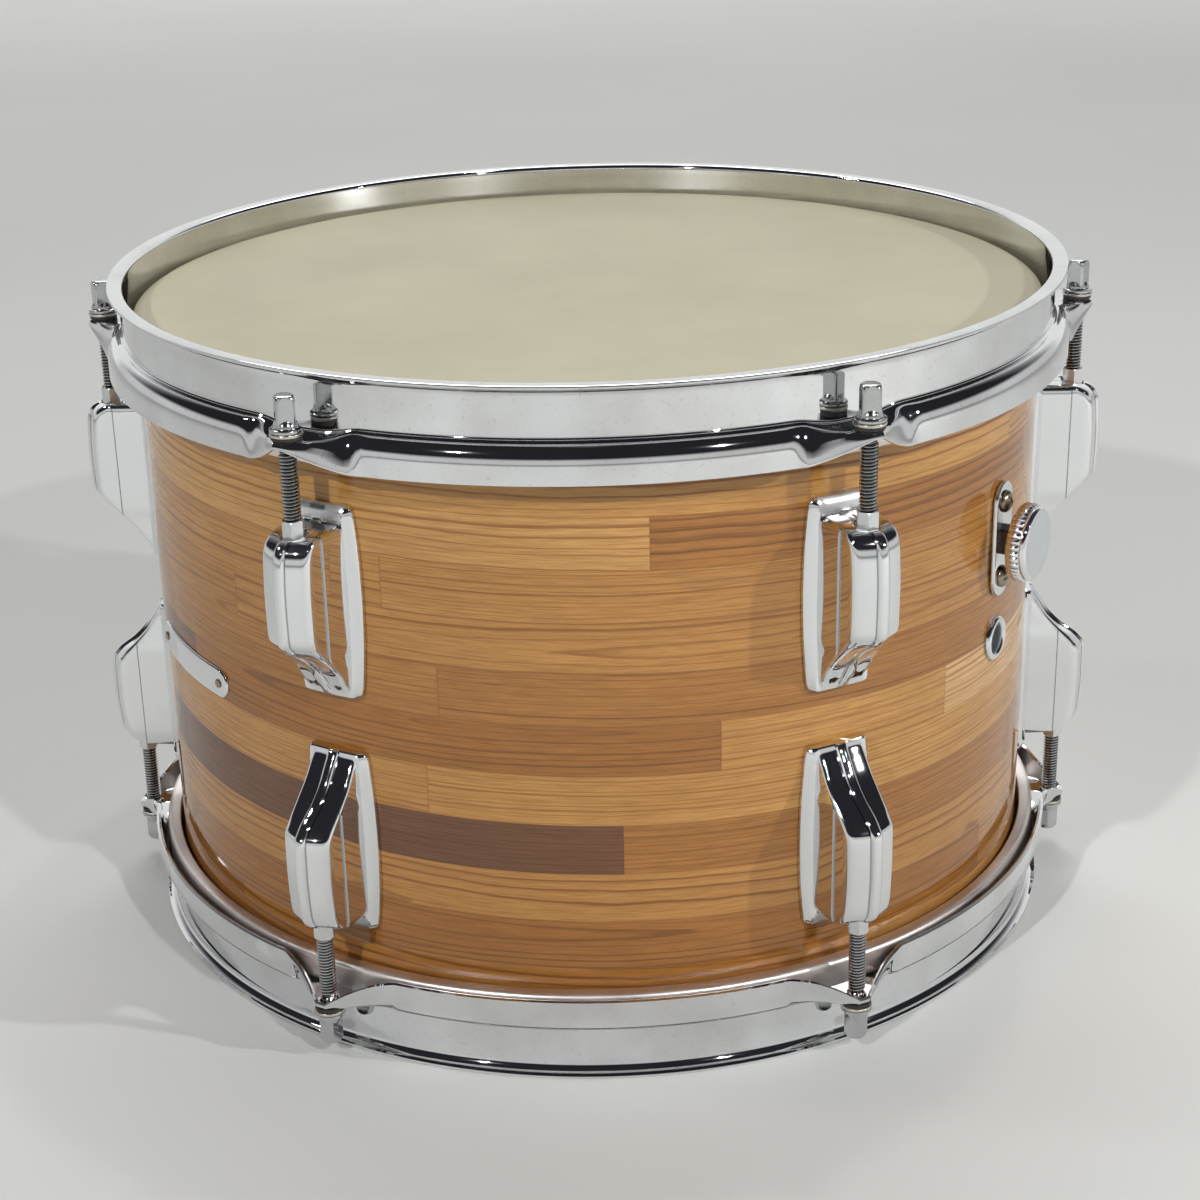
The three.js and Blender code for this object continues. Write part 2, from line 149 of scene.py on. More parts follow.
# Tension rods, washers and nuts
THREAD_PITCH = 25.4 / 24
THREAD_CREST = 2.72
THREAD_ROOT = 2.1
THREAD_START = 21.4
SHANK_RADIUS = 2.42
HEAD_HALF_WIDTH = 2.9
HEAD_CORNER = 0.55
HEAD_DEPTH = HEIGHT - cad_high("batter_tension_rod_1").z
ROD_TIP_DEPTH = HEIGHT - cad_low("batter_tension_rod_1").z
COLLAR_GAP = 0.15
NUT_TOP = 43.2
NUT_HALF_WIDTH = 3.06
NUT_BORE = 2.85
NUT_COLLAR = 4.2
NUT_LENGTH = 12.9
FIRST_ROD_TURN = 0.6
ROD_TURN_STEP = 0.35

# Muffler
PLATE_BACK = SHELL_RADIUS + 0.3
PLATE_HALF_LENGTH = 19.25
PLATE_HALF_WIDTH = 6.25
PLATE_THICKNESS = 1.5
PLATE_BORE = 2.7
PLATE_SCREW_SPACING = 25.4
SPINDLE_RADIUS = 2.5
POST_LENGTH = 4.4
KNOB_BACK = PLATE_BACK + PLATE_THICKNESS + POST_LENGTH + 0.3
KNOB_FACE = 6.8
KNOB_FACE_RADIUS = 10.6
ARM_SWING = math.radians(40)
ARM_THICKNESS = 1.6
ARM_HALF_WIDTH = 7
ARM_HOLE = 2.65
ARM_STANDOFF = 3
ARM_REACH = 24
ARM_FOOT = 9
ARM_KNEE = 16
PAD_RADIUS = 12
PAD_HEIGHT = 9
PAD_UNDER = math.sqrt((SHELL_TOP - PLATE_CENTRE) ** 2 - PAD_RADIUS ** 2) - PAD_HEIGHT

# The badge's plain bar
BADGE_ANGLE = math.radians(-150)
BADGE_HEIGHT = 109.5
BADGE_HALF_LENGTH = 29
BADGE_HALF_HEIGHT = 5
BADGE_THICKNESS = 1.1
BADGE_EDGE = 0.7
BADGE_PIN_PLACE = 24

# How finely curves are divided
RING_STEPS = 240
SMALL_STEPS = 48
CORNER_STEPS = 4
STATIONS_PER_LUG = 80
CROWDING = 0.62


# Mesh making

def linked(name, data):
    """A new object in the scene."""
    obj = bpy.data.objects.new(name, data)
    scene.collection.objects.link(obj)
    return obj


def mesh_from(name, points, faces, crease_degrees=35):
    """A mesh in metres from points in millimetres, smooth but for edges sharper than a crease."""
    mesh = bpy.data.meshes.new(name)
    mesh.from_pydata([tuple(MM * value for value in point) for point in points], [], faces)
    tidy = bmesh.new()
    tidy.from_mesh(mesh)
    bmesh.ops.remove_doubles(tidy, verts=tidy.verts, dist=1e-6)
    bmesh.ops.recalc_face_normals(tidy, faces=tidy.faces)
    tidy.to_mesh(mesh)
    tidy.free()
    mesh.shade_smooth()
    mesh.set_sharp_from_angle(angle=math.radians(crease_degrees))
    return mesh


def grid_faces(rows, columns, close_rows=False, close_columns=False):
    """Quads of a grid of rows by columns of points, wrapped round where asked."""
    faces = []
    for row in range(rows if close_rows else rows - 1):
        for column in range(columns if close_columns else columns - 1):
            next_row = (row + 1) % rows
            next_column = (column + 1) % columns
            faces.append((
                row * columns + column,
                next_row * columns + column,
                next_row * columns + next_column,
                row * columns + next_column,
            ))
    return faces


def ring(reaches, z):
    """Points round the Z axis, whose reach changes from point to point."""
    steps = len(reaches)
    return [
        (reach * math.cos(TAU * step / steps), reach * math.sin(TAU * step / steps), z)
        for step, reach in enumerate(reaches)
    ]


def stacked(name, rings, is_closed, crease_degrees):
    """A mesh through rings round Z, each a height and how far its points reach."""
    points = []
    for z, reaches in rings:
        points += ring(reaches, z)
    faces = grid_faces(len(rings), len(rings[0][1]), is_closed, True)
    return mesh_from(name, points, faces, crease_degrees)


def at_angle(profile, angle):
    """The points of a profile of (radius, z) at an angle about Z."""
    return [(radius * math.cos(angle), radius * math.sin(angle), z) for radius, z in profile]


def turned(name, profile, steps=RING_STEPS, crease_degrees=35):
    """A closed profile of (radius, z) turned about Z."""
    points = []
    for step in range(steps):
        points += at_angle(profile, TAU * step / steps)
    return mesh_from(name, points, grid_faces(steps, len(profile), True, True), crease_degrees)


def drill(radius, low, high):
    """A solid cylinder along Z, for cutting a hole."""
    return turned("drill", [(0, low), (radius, low), (radius, high), (0, high)], 32)


def slot_cutter(half_length, half_width, low, high):
    """A box for cutting a driver's slot in a screw."""
    sides = [
        (-half_length, -half_width), (half_length, -half_width),
        (half_length, half_width), (-half_length, half_width),
    ]
    corners = [(x, y, z) for z in (low, high) for x, y in sides]
    walls = [(side, (side + 1) % 4, (side + 1) % 4 + 4, side + 4) for side in range(4)]
    return mesh_from("slot", corners, [(0, 1, 2, 3), (4, 5, 6, 7), *walls])


def arc(centre, radii, start, end, steps):
    """Points on an ellipse's arc, angles in degrees."""
    return [
        (
            centre[0] + radii[0] * math.cos(math.radians(start + (end - start) * step / steps)),
            centre[1] + radii[1] * math.sin(math.radians(start + (end - start) * step / steps)),
        )
        for step in range(steps + 1)
    ]


def rounded(corners):
    """A closed outline of (x, y, corner radius) with its corners rounded."""
    points = []
    count = len(corners)
    for index, (x, y, radius) in enumerate(corners):
        if radius == 0:
            points.append((x, y))
            continue
        here = Vector((x, y))
        before = (Vector(corners[index - 1][:2]) - here).normalized()
        after = (Vector(corners[(index + 1) % count][:2]) - here).normalized()
        half_angle = before.angle(after) / 2
        reach = radius / math.tan(half_angle)
        centre = here + (before + after).normalized() * (radius / math.sin(half_angle))
        start = here + before * reach - centre
        sweep = start.angle_signed(here + after * reach - centre)
        for step in range(CORNER_STEPS + 1):
            turn = Matrix.Rotation(-sweep * step / CORNER_STEPS, 2)
            points.append(tuple(centre + turn @ start))
    return points


def mixed(low, high, share):
    return low + (high - low) * share


def smooth_share(value, low, high):
    share = min(max((value - low) / (high - low), 0), 1)
    return share * share * (3 - 2 * share)


def interpolated(table, place):
    """A smooth, monotone reading of a table of (place, value) rows."""
    if place <= table[0][0]:
        return table[0][1]
    if place >= table[-1][0]:
        return table[-1][1]
    slopes = [
        (after[1] - before[1]) / (after[0] - before[0]) for before, after in zip(table, table[1:])
    ]
    tangents = [slopes[0]]
    for before, after in zip(slopes, slopes[1:]):
        same_way = before * after > 0
        tangents.append(2 * before * after / (before + after) if same_way else 0)
    tangents.append(slopes[-1])
    index = max(row for row in range(len(table) - 1) if table[row][0] <= place)
    width = table[index + 1][0] - table[index][0]
    share = (place - table[index][0]) / width
    return (
        table[index][1] * (1 + 2 * share) * (1 - share) ** 2
        + width * tangents[index] * share * (1 - share) ** 2
        + table[index + 1][1] * share ** 2 * (3 - 2 * share)
        - width * tangents[index + 1] * share ** 2 * (1 - share)
    )


def crosswise(line):
    """At each point of a line, the direction square to it."""
    directions = []
    for before, after in zip([line[0], *line], [*line[1:], line[-1]]):
        along = (after - before).normalized()
        directions.append(Vector((along.y, -along.x)))
    return directions


def cut(mesh, cutters):
    """A new mesh: the given one with solids cut away."""
    obj = linked("cut_target", mesh)
    tools = []
    for cutter in cutters:
        tool = linked("cutter", cutter)
        modifier = obj.modifiers.new("cut", "BOOLEAN")
        modifier.operation = "DIFFERENCE"
        modifier.solver = "EXACT"
        modifier.object = tool
        tools.append(tool)
    bpy.context.view_layer.update()
    result = bpy.data.meshes.new_from_object(obj.evaluated_get(bpy.context.evaluated_depsgraph_get()))
    for item in [obj, *tools]:
        bpy.data.objects.remove(item)
    result.name = mesh.name + "_cut"
    return result


def moved(mesh, matrix):
    """A copy of a mesh with a matrix, whose lengths are metres, applied."""
    copy = mesh.copy()
    copy.transform(matrix)
    return copy


def shifted(x, y, z):
    return Matrix.Translation(Vector((x, y, z)) * MM)


def round_z(angle):
    return Matrix.Rotation(angle, 4, "Z")


def halves():
    """Each side's name, and the matrix that turns the upper half's shapes over to it."""
    turned_over = shifted(0, 0, HEIGHT) @ Matrix.Rotation(math.pi, 4, "X")
    return ("batter", Matrix.Identity(4)), ("resonant", turned_over)


def out_of_shell(angle, z):
    """Turns a shape built along Z so that it points out of the shell."""
    return shifted(0, 0, z) @ round_z(angle) @ Matrix.Rotation(math.pi / 2, 4, "Y")


def placed(name, mesh, matrix, material, body, node_names, slot):
    """Puts a mesh in the scene with its place, material, body and replaced CAD nodes; the slot is not
    used.
    """
    obj = linked(name, mesh)
    obj.matrix_world = matrix
    if material:
        mesh.materials.append(material)
    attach(obj, body)
    if node_names:
        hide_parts(*node_names)
    return obj


def face_material(mesh, material, is_there):
    """Gives a second material to the faces whose centre, in millimetres, passes is_there."""
    mesh.materials.append(material)
    for face in mesh.polygons:
        if is_there(face.center / MM):
            face.material_index = 1


# Materials

class Nodes:
    """A node tree whose nodes are made by short calls."""

    def __init__(self, tree):
        self.nodes = tree.nodes
        self.links = tree.links

    def node(self, kind, inputs=(), **settings):
        made = self.nodes.new(kind)
        for key, value in settings.items():
            setattr(made, key, value)
        for key, value in dict(inputs).items():
            self.feed(made.inputs[key], value)
        return made

    def feed(self, socket, value):
        if isinstance(value, bpy.types.NodeSocket):
            self.links.new(value, socket)
        else:
            socket.default_value = value

    def math(self, operation, *values, clamp=False):
        made = self.node("ShaderNodeMath", operation=operation, use_clamp=clamp)
        for socket, value in zip(made.inputs, values):
            self.feed(socket, value)
        return made.outputs[0]

    def plus(self, first, second):
        return self.math("ADD", first, second)

    def minus(self, first, second):
        return self.math("SUBTRACT", first, second)

    def times(self, first, second):
        return self.math("MULTIPLY", first, second)

    def size(self, value):
        return self.math("ABSOLUTE", value)

    def least(self, smallest, *others):
        for other in others:
            smallest = self.math("MINIMUM", smallest, other)
        return smallest

    def noise(self, vector, scale, detail=2.0, roughness=0.5):
        return self.node("ShaderNodeTexNoise", {
            "Vector": vector, "Scale": scale, "Detail": detail, "Roughness": roughness,
        }).outputs["Fac"]

    def ranged(self, value, low, high, to_low, to_high):
        return self.node("ShaderNodeMapRange", {
            "Value": value, "From Min": low, "From Max": high, "To Min": to_low, "To Max": to_high,
        }).outputs["Result"]

    def ramp_node(self, value, stops, interpolation="LINEAR"):
        made = self.node("ShaderNodeValToRGB", {"Fac": value})
        made.color_ramp.interpolation = interpolation
        elements = made.color_ramp.elements
        while len(elements) < len(stops):
            elements.new(0.5)
        for element, (position, color) in zip(elements, stops):
            element.position = position
            element.color = color
        return made

    def ramp(self, value, stops):
        return self.ramp_node(value, [(place, (*color, 1)) for place, color in stops]).outputs["Color"]

    def row_table(self, row_share, rows):
        """Four numbers looked up by row, with row_share running from 0 to 1 over the rows."""
        stops = [(index / len(rows), values) for index, values in enumerate(rows)]
        made = self.ramp_node(row_share, stops, "CONSTANT")
        parts = self.node("ShaderNodeSeparateColor", {"Color": made.outputs["Color"]})
        return [*(parts.outputs[name] for name in ("Red", "Green", "Blue")), made.outputs["Alpha"]]

    def chosen(self, index, values):
        """The value at an index; an index past the end takes the last."""
        picked = values[-1]
        for place in range(len(values) - 2, -1, -1):
            is_here = self.math("LESS_THAN", index, place + 0.5)
            made = self.node("ShaderNodeMix", {"Factor": is_here}, data_type="FLOAT")
            self.feed(made.inputs[2], picked)
            self.feed(made.inputs[3], values[place])
            picked = made.outputs[0]
        return picked

    def mix(self, share, first, second, blend="MIX"):
        made = self.node("ShaderNodeMix", data_type="RGBA", blend_type=blend)
        self.feed(made.inputs["Factor"], share)
        for socket, value in ((made.inputs[6], first), (made.inputs[7], second)):
            self.feed(socket, value if isinstance(value, bpy.types.NodeSocket) else (*value, 1))
        return made.outputs[2]


class Shader(Nodes):
    """A material with a principled surface."""

    def __init__(self, name):
        self.material = bpy.data.materials.new(name)
        self.material.use_nodes = True
        super().__init__(self.material.node_tree)
        self.surface = self.nodes["Principled BSDF"]

    def place(self):
        """The object's own coordinates, in millimetres."""
        coordinates = self.node("ShaderNodeTexCoord").outputs["Object"]
        scaled = self.node("ShaderNodeVectorMath", operation="SCALE")
        self.feed(scaled.inputs[0], coordinates)
        scaled.inputs["Scale"].default_value = 1 / MM
        return scaled.outputs[0]

    def axes(self):
        return self.node("ShaderNodeSeparateXYZ", {"Vector": self.place()}).outputs

    def spread(self, x, y, z):
        return self.node("ShaderNodeCombineXYZ", {"X": x, "Y": y, "Z": z}).outputs[0]

    def bump(self, height, strength, distance):
        made = self.node("ShaderNodeBump", {
            "Height": height, "Strength": strength, "Distance": distance * MM,
        })
        self.links.new(made.outputs["Normal"], self.surface.inputs["Normal"])

    def set(self, **values):
        for key, value in values.items():
            socket = self.surface.inputs[key.replace("_", " ")]
            is_color = isinstance(value, tuple) and len(value) == 3
            self.feed(socket, (*value, 1) if is_color else value)


def linear(red, green, blue):
    """Linear colour from 0 to 255 display values."""
    def one(value):
        share = value / 255
        return share / 12.92 if share <= 0.04045 else ((share + 0.055) / 1.055) ** 2.4
    return (one(red), one(green), one(blue))


# A near-black used as painted shade in the grooves and creases of rods and lugs.
PAINTED_SHADE = (0.03, 0.028, 0.026)


def plated(name, color, dull, roughness, wear, ripple=0.02, shade_mask=None, hazed=None):
    """Plated or bare metal with faint haze, specks and a ripple in its surface, and painted shade where
    a shade mask is given.
    """
    shader = Shader(name)
    place = shader.place()
    haze = shader.noise(place, 0.05, 4)
    specks = shader.ranged(shader.noise(place, 0.9, 3), 0.62, 0.72, 0, wear)
    cover = shader.math("ADD", shader.ranged(haze, 0.35, 0.75, 0, wear), specks, clamp=True)
    tint = shader.mix(cover, color, dull)
    rough = shader.ranged(cover, 0, 2 * wear, roughness, roughness * 1.8)
    # Painted shade: the mask darkens the tint towards near-black where shade falls in grooves and
    # creases.
    if shade_mask:
        tint = shader.mix(shade_mask(shader, shader.axes()), tint, PAINTED_SHADE)
    if hazed:
        rough = shader.plus(rough, hazed(shader, shader.axes()))
    shader.set(Base_Color=tint, Metallic=1.0, Roughness=rough)
    shader.bump(shader.noise(place, 0.12, 2), 0.3, ripple)
    return shader.material


def thread_groove_shade(shader, place):
    """Painted shade between the threads of a rod, whose axis is the object's own Z axis."""
    squares = [shader.times(place[axis], place[axis]) for axis in "XY"]
    reach = shader.math("SQRT", shader.plus(*squares))
    threaded = shader.math("LESS_THAN", place["Z"], float(HEIGHT - THREAD_START))
    return shader.times(shader.ranged(reach, THREAD_ROOT + 0.1, THREAD_CREST - 0.2, 0.88, 0), threaded)


def dusty_shelf(shader, place):
    """Haze on a lug's shelf beside the nut, where no cloth reaches."""
    shelf = HEIGHT - LUG_BODY_START
    beside = shader.ranged(shader.size(place["Y"]), 8.6, 9.6, 1, 0)
    above = shader.ranged(place["Z"], shelf, shelf + 1.2, 0, 0.3)
    return shader.times(beside, above)


def rib_crease_shade(shader, place):
    """Painted shade: dark lines in the creases along a lug's rib and side ledges; the object's own Y
    axis runs across the lug.
    """
    across = shader.size(place["Y"])
    from_rib = shader.size(shader.minus(across, RIB_CORNER))
    from_ledge = shader.size(shader.minus(place["X"], LUG_SEAT + LEDGE_HEIGHT))
    proud = shader.ranged(place["X"], LUG_SEAT + 4, LUG_SEAT + 7, 0, 1)
    on_side = shader.math("GREATER_THAN", across, 8.0)
    rib_line = shader.times(shader.ranged(from_rib, 0.1, 0.34, 0.55, 0), proud)
    ledge_line = shader.times(shader.ranged(from_ledge, 0.15, 0.4, 0.5, 0), on_side)
    return shader.math("MAXIMUM", rib_line, ledge_line)


def coated_film():
    """Sprayed cream coating: a soft cloud of two tones, with a fine grain."""
    shader = Shader("coated_film")
    place = shader.place()
    cloud = shader.noise(place, 0.02, 5, 0.6)
    grain = shader.noise(place, 1.3, 2)
    tint = shader.ramp(cloud, [(0.3, linear(172, 165, 136)), (0.7, linear(184, 177, 148))])
    shader.set(
        Base_Color=shader.mix(shader.ranged(grain, 0.35, 0.65, 0, 0.25), tint, linear(164, 157, 130)),
        Roughness=0.5,
    )
    shader.bump(grain, 0.35, 0.03)
    return shader.material


def mottled(name, stretch, pattern, tones, roughness, bump):
    """A material whose colour runs between two tones over noise, stretched along X, Y and Z."""
    shader = Shader(name)
    place = shader.place()
    if stretch:
        axes = shader.axes()
        place = shader.spread(*(shader.times(axes[axis], share) for axis, share in zip("XYZ", stretch)))
    figure = shader.noise(place, *pattern)
    shader.set(
        Base_Color=shader.ramp(figure, [(share, linear(*tone)) for share, tone in tones]),
        Roughness=roughness,
    )
    shader.bump(figure, *bump)
    return shader.material


# The wrap's rows of wood strips, from the lowest up: three joints in degrees to the right of the
# front, then how light each of the four strips is and how coarse its grain is. A fourth joint, whose
# place is left to chance, parts the last strip in two.
WRAP_ROWS = [
    ((-20, 80, 170), (0.4, 0.6, 0.5, 0.7), (0.5, 0.2, 0.6, 0.3)),
    ((-50, 35, 140), (0.3, 0.35, 0.6, 0.45), (0.4, 0.6, 0.3, 0.7)),
    ((-66, 58, 165), (0.5, 0.3, 0.45, 0.65), (0.3, 0.35, 0.6, 0.4)),
    ((72, 150, 225), (0.58, 0.75, 0.4, 0.55), (0.85, 0.5, 0.2, 0.9)),
    ((4.2, 90, 170), (0.0, 0.38, 0.6, 0.3), (0.1, 0.12, 0.5, 0.7)),
    ((-18.5, 100, 205), (0.66, 0.72, 0.5, 0.8), (0.4, 0.25, 0.6, 0.3)),
    ((-57.4, 15.6, 48), (0.05, 0.3, 0.7, 0.95), (0.1, 0.3, 0.55, 0.6)),
    ((-16.6, 95, 180), (0.45, 0.4, 0.62, 0.3), (0.15, 0.1, 0.7, 0.4)),
    ((-45.7, 85, 200), (0.5, 0.6, 0.35, 0.7), (0.25, 0.62, 0.3, 0.5)),
    ((-23, 75, 190), (0.6, 0.6, 0.8, 0.45), (0.7, 0.2, 0.5, 0.3)),
    ((7.7, 110, 215), (0.82, 0.34, 0.65, 0.5), (1.0, 0.95, 0.4, 0.6)),
    ((62, 120, 230), (0.74, 0.55, 0.4, 0.8), (0.9, 0.6, 0.3, 0.5)),
    ((-30, 50, 160), (0.6, 0.45, 0.7, 0.55), (0.4, 0.3, 0.8, 0.5)),
]
WRAP_ROW_HEIGHT = 16.45
WRAP_LOW_EDGE = 2.35
WRAP_SLANT = 0.024
WRAP_SEAM_DEGREES = -71
WRAP_LENGTH = TAU * SHELL_RADIUS
FOURTH_JOINT = (0.84, 0.95)

# The wood's growth rings, each pair from fine to coarse grain, and the pith that they run round
RING_WIDTH = (1.25, 3.3)
RING_WARP = (1.2, 4.5)
RING_UNEVENNESS = 2.2
PITH_ACROSS = (-38, 54)
PITH_TILT = 0.05
PITH_DEPTH = 3.0
BOARD_START = 260


def wrap_place(shader):
    """A point's share of the turn from the seam, and its place around and up in millimetres."""
    seam = math.radians(WRAP_SEAM_DEGREES)
    place = shader.axes()
    angle = shader.math("ARCTAN2", place["X"], shader.times(place["Y"], -1.0))
    turn = shader.math("DIVIDE", shader.minus(angle, seam), TAU)
    turn = shader.math("FRACT", shader.plus(turn, 1.0))
    around = shader.plus(shader.times(turn, WRAP_LENGTH), seam * SHELL_RADIUS)
    return turn, around, shader.plus(place["Z"], shader.times(around, WRAP_SLANT))


def wrap_block(shader, row, turn):
    """A row's joints, the number of the block between them, and that block's tone and grain."""
    row_share = shader.math("DIVIDE", shader.plus(row, 0.5), float(len(WRAP_ROWS)))
    joint_rows = [
        (*[((degrees - WRAP_SEAM_DEGREES) / 360) % 1 for degrees in joints], 1)
        for joints, _, _ in WRAP_ROWS
    ]
    chance = shader.node("ShaderNodeTexWhiteNoise", {"W": row}, noise_dimensions="1D").outputs["Value"]
    places = [
        *shader.row_table(row_share, joint_rows)[:3],
        shader.ranged(chance, 0, 1, *FOURTH_JOINT),
    ]
    passed = [shader.math("GREATER_THAN", turn, joint) for joint in places]
    block = shader.plus(shader.plus(*passed[:2]), shader.plus(*passed[2:]))
    tone, coarse = [
        shader.chosen(block, shader.row_table(row_share, [entry[part] for entry in WRAP_ROWS]))
        for part in (1, 2)
    ]
    return places, block, tone, coarse


def late_wood(shader, around, within_row, chances, coarse, warp):
    """How strongly the dark late wood shows, in rings round a pith that lies near the board."""
    plus, minus, times = shader.plus, shader.minus, shader.times
    pith_share, start_share, tilt_share = chances
    along = plus(around, shader.ranged(start_share, 0, 1, -BOARD_START, BOARD_START))
    across = minus(within_row, shader.ranged(pith_share, 0, 1, *PITH_ACROSS))
    depth = plus(times(along, shader.ranged(tilt_share, 0, 1, -PITH_TILT, PITH_TILT)), PITH_DEPTH)
    squares = [times(value, value) for value in (across, depth)]
    ring_place = plus(shader.math("SQRT", plus(*squares)), warp)
    uneven = shader.node("ShaderNodeTexNoise", {
        "W": times(ring_place, 0.28), "Scale": 1.0, "Detail": 3.0,
    }, noise_dimensions="1D").outputs["Fac"]
    ring_place = plus(ring_place, shader.ranged(uneven, 0, 1, -RING_UNEVENNESS, RING_UNEVENNESS))
    ring_width = shader.ranged(coarse, 0, 1, *RING_WIDTH)
    phase = shader.math("FRACT", shader.math("DIVIDE", ring_place, ring_width))
    late = shader.ramp(phase, [
        (0.0, (0.05, 0.05, 0.05)), (0.58, (0, 0, 0)), (0.76, (0.3, 0.3, 0.3)),
        (0.84, (1, 1, 1)), (0.94, (1, 1, 1)), (0.98, (0.05, 0.05, 0.05)),
    ])
    strength = times(shader.ranged(coarse, 0, 1, 0.7, 1.0), shader.ranged(uneven, 0.35, 0.6, 1, 0.55))
    return times(late, strength)


def jointed_wood(shader, wood, dark, turn, row_place, joints):
    """Adds fine dark lines between the strips, and one where the wrap's ends meet."""
    joint_gaps = [shader.size(shader.minus(turn, joint)) for joint in joints]
    end_gap = shader.times(shader.least(*joint_gaps), WRAP_LENGTH)
    row_gap = shader.times(shader.math("PINGPONG", row_place, 0.5), WRAP_ROW_HEIGHT)
    seam_gap = shader.times(shader.math("PINGPONG", turn, 0.5), WRAP_LENGTH)
    joint_line = shader.ranged(shader.least(row_gap, end_gap), 0.1, 0.35, 0.35, 0)
    seam_line = shader.ranged(seam_gap, 0.2, 0.45, 0.9, 0)
    return shader.mix(seam_line, shader.mix(joint_line, wood, dark), linear(52, 34, 22))


def wood_wrap():
    """Glossy wrap printed with rows of glued wood strips, each cut from its own board."""
    shader = Shader("wood_wrap")
    minus, times = shader.minus, shader.times
    turn, around, up = wrap_place(shader)
    row_place = shader.math("DIVIDE", minus(up, WRAP_LOW_EDGE), WRAP_ROW_HEIGHT)
    row = shader.math("FLOOR", row_place)
    joints, block, tone, coarse = wrap_block(shader, row, turn)
    key = shader.spread(block, row, 0.0)
    by_block = shader.node("ShaderNodeTexWhiteNoise", {"Vector": key}, noise_dimensions="2D")
    parts = shader.node("ShaderNodeSeparateColor", {"Color": by_block.outputs["Color"]}).outputs
    chances = [parts[name] for name in ("Red", "Green", "Blue")]
    layer = times(chances[0], 60.0)

    def drawn_out(along, upward, *detail):
        return shader.noise(shader.spread(times(around, along), times(up, upward), layer), 1.0, *detail)

    warp = times(minus(drawn_out(0.016, 0.05, 3), 0.5), shader.ranged(coarse, 0, 1, *RING_WARP))
    within_row = times(shader.math("FRACT", row_place), WRAP_ROW_HEIGHT)
    late = late_wood(shader, around, within_row, chances, coarse, warp)
    fibre = drawn_out(0.09, 2.2, 4, 0.65)
    cloud = drawn_out(0.01, 0.12, 2)
    board = shader.ramp(tone, [
        (0.0, linear(118, 80, 55)), (0.12, linear(132, 90, 54)), (0.24, linear(160, 104, 47)),
        (0.5, linear(182, 130, 69)), (0.8, linear(201, 153, 87)), (1.0, linear(224, 186, 132)),
    ])
    dark = shader.mix(tone, linear(76, 48, 30), linear(140, 82, 32))
    clouded = shader.mix(shader.ranged(cloud, 0.35, 0.7, 0, 0.22), board, dark)
    grained = shader.mix(late, clouded, dark)
    fibred = shader.mix(shader.ranged(fibre, 0.4, 0.66, 0, 0.45), grained, dark)
    shader.set(
        Base_Color=jointed_wood(shader, fibred, dark, turn, row_place, joints),
        Roughness=shader.ranged(fibre, 0, 1, 0.05, 0.08),
    )
    shader.bump(shader.noise(shader.place(), 0.06, 2), 0.2, 0.04)
    return shader.material


CHROME = plated("chrome", (0.82, 0.83, 0.84), (0.62, 0.62, 0.62), 0.035, 0.12, 0.03)
HOOP_CHROME = plated("hoop_chrome", (0.8, 0.81, 0.82), (0.5, 0.48, 0.47), 0.03, 0.4, 0.03)
# The lug's chrome carries painted shade along the creases of its rib and ledges.
LUG_CHROME = plated("lug_chrome", (0.82, 0.83, 0.84), (0.62, 0.62, 0.62), 0.035, 0.12, 0.02,
                    rib_crease_shade, dusty_shelf)
# The rod's plating carries painted shade between its threads.
ROD_STEEL = plated("rod_plating", (0.56, 0.57, 0.58), (0.38, 0.37, 0.34), 0.12, 0.3, 0.02,
                   thread_groove_shade)
WASHER_STEEL = plated("washer_plating", (0.66, 0.62, 0.56), (0.5, 0.45, 0.38), 0.25, 0.3)
NUT_STEEL = plated("nut_plating", (0.74, 0.75, 0.76), (0.56, 0.56, 0.55), 0.3, 0.3)
ALUMINIUM = plated("aluminium", (0.8, 0.74, 0.71), (0.68, 0.62, 0.6), 0.36, 0.12, 0.004)
NICKEL = plated("aged_nickel", (0.42, 0.36, 0.28), (0.16, 0.11, 0.08), 0.22, 0.8)
SATIN = plated("satin_chrome", (0.72, 0.75, 0.77), (0.62, 0.64, 0.66), 0.34, 0.2)
SPRING = plated("spring_steel", (0.5, 0.5, 0.51), (0.36, 0.35, 0.34), 0.35, 0.3)
DARK_STEEL = plated("dark_post", (0.07, 0.05, 0.045), (0.03, 0.02, 0.02), 0.22, 0.3)
COATED_FILM = coated_film()
WRAP = wood_wrap()
PLAIN_FILM = mottled("plain_film", None, (0.03, 3),
                     [(0.3, (214, 212, 204)), (0.7, (222, 220, 213))], 0.3, (0.1, 0.05))
BARE_WOOD = mottled("bare_wood", (0.05, 0.05, 1.1), (1.0, 4, 0.6),
                    [(0.3, (176, 138, 98)), (0.7, (212, 180, 140))], 0.5, (0.2, 0.05))
FELT = mottled("felt", None, (1.6, 5, 0.75),
               [(0.3, (150, 143, 130)), (0.7, (205, 199, 186))], 0.95, (0.8, 0.4))
RUBBER = mottled("dark_washer", None, (1.2, 3),
                 [(0.35, (30, 28, 26)), (0.7, (48, 45, 42))], 0.55, (0.3, 0.05))


# Shell

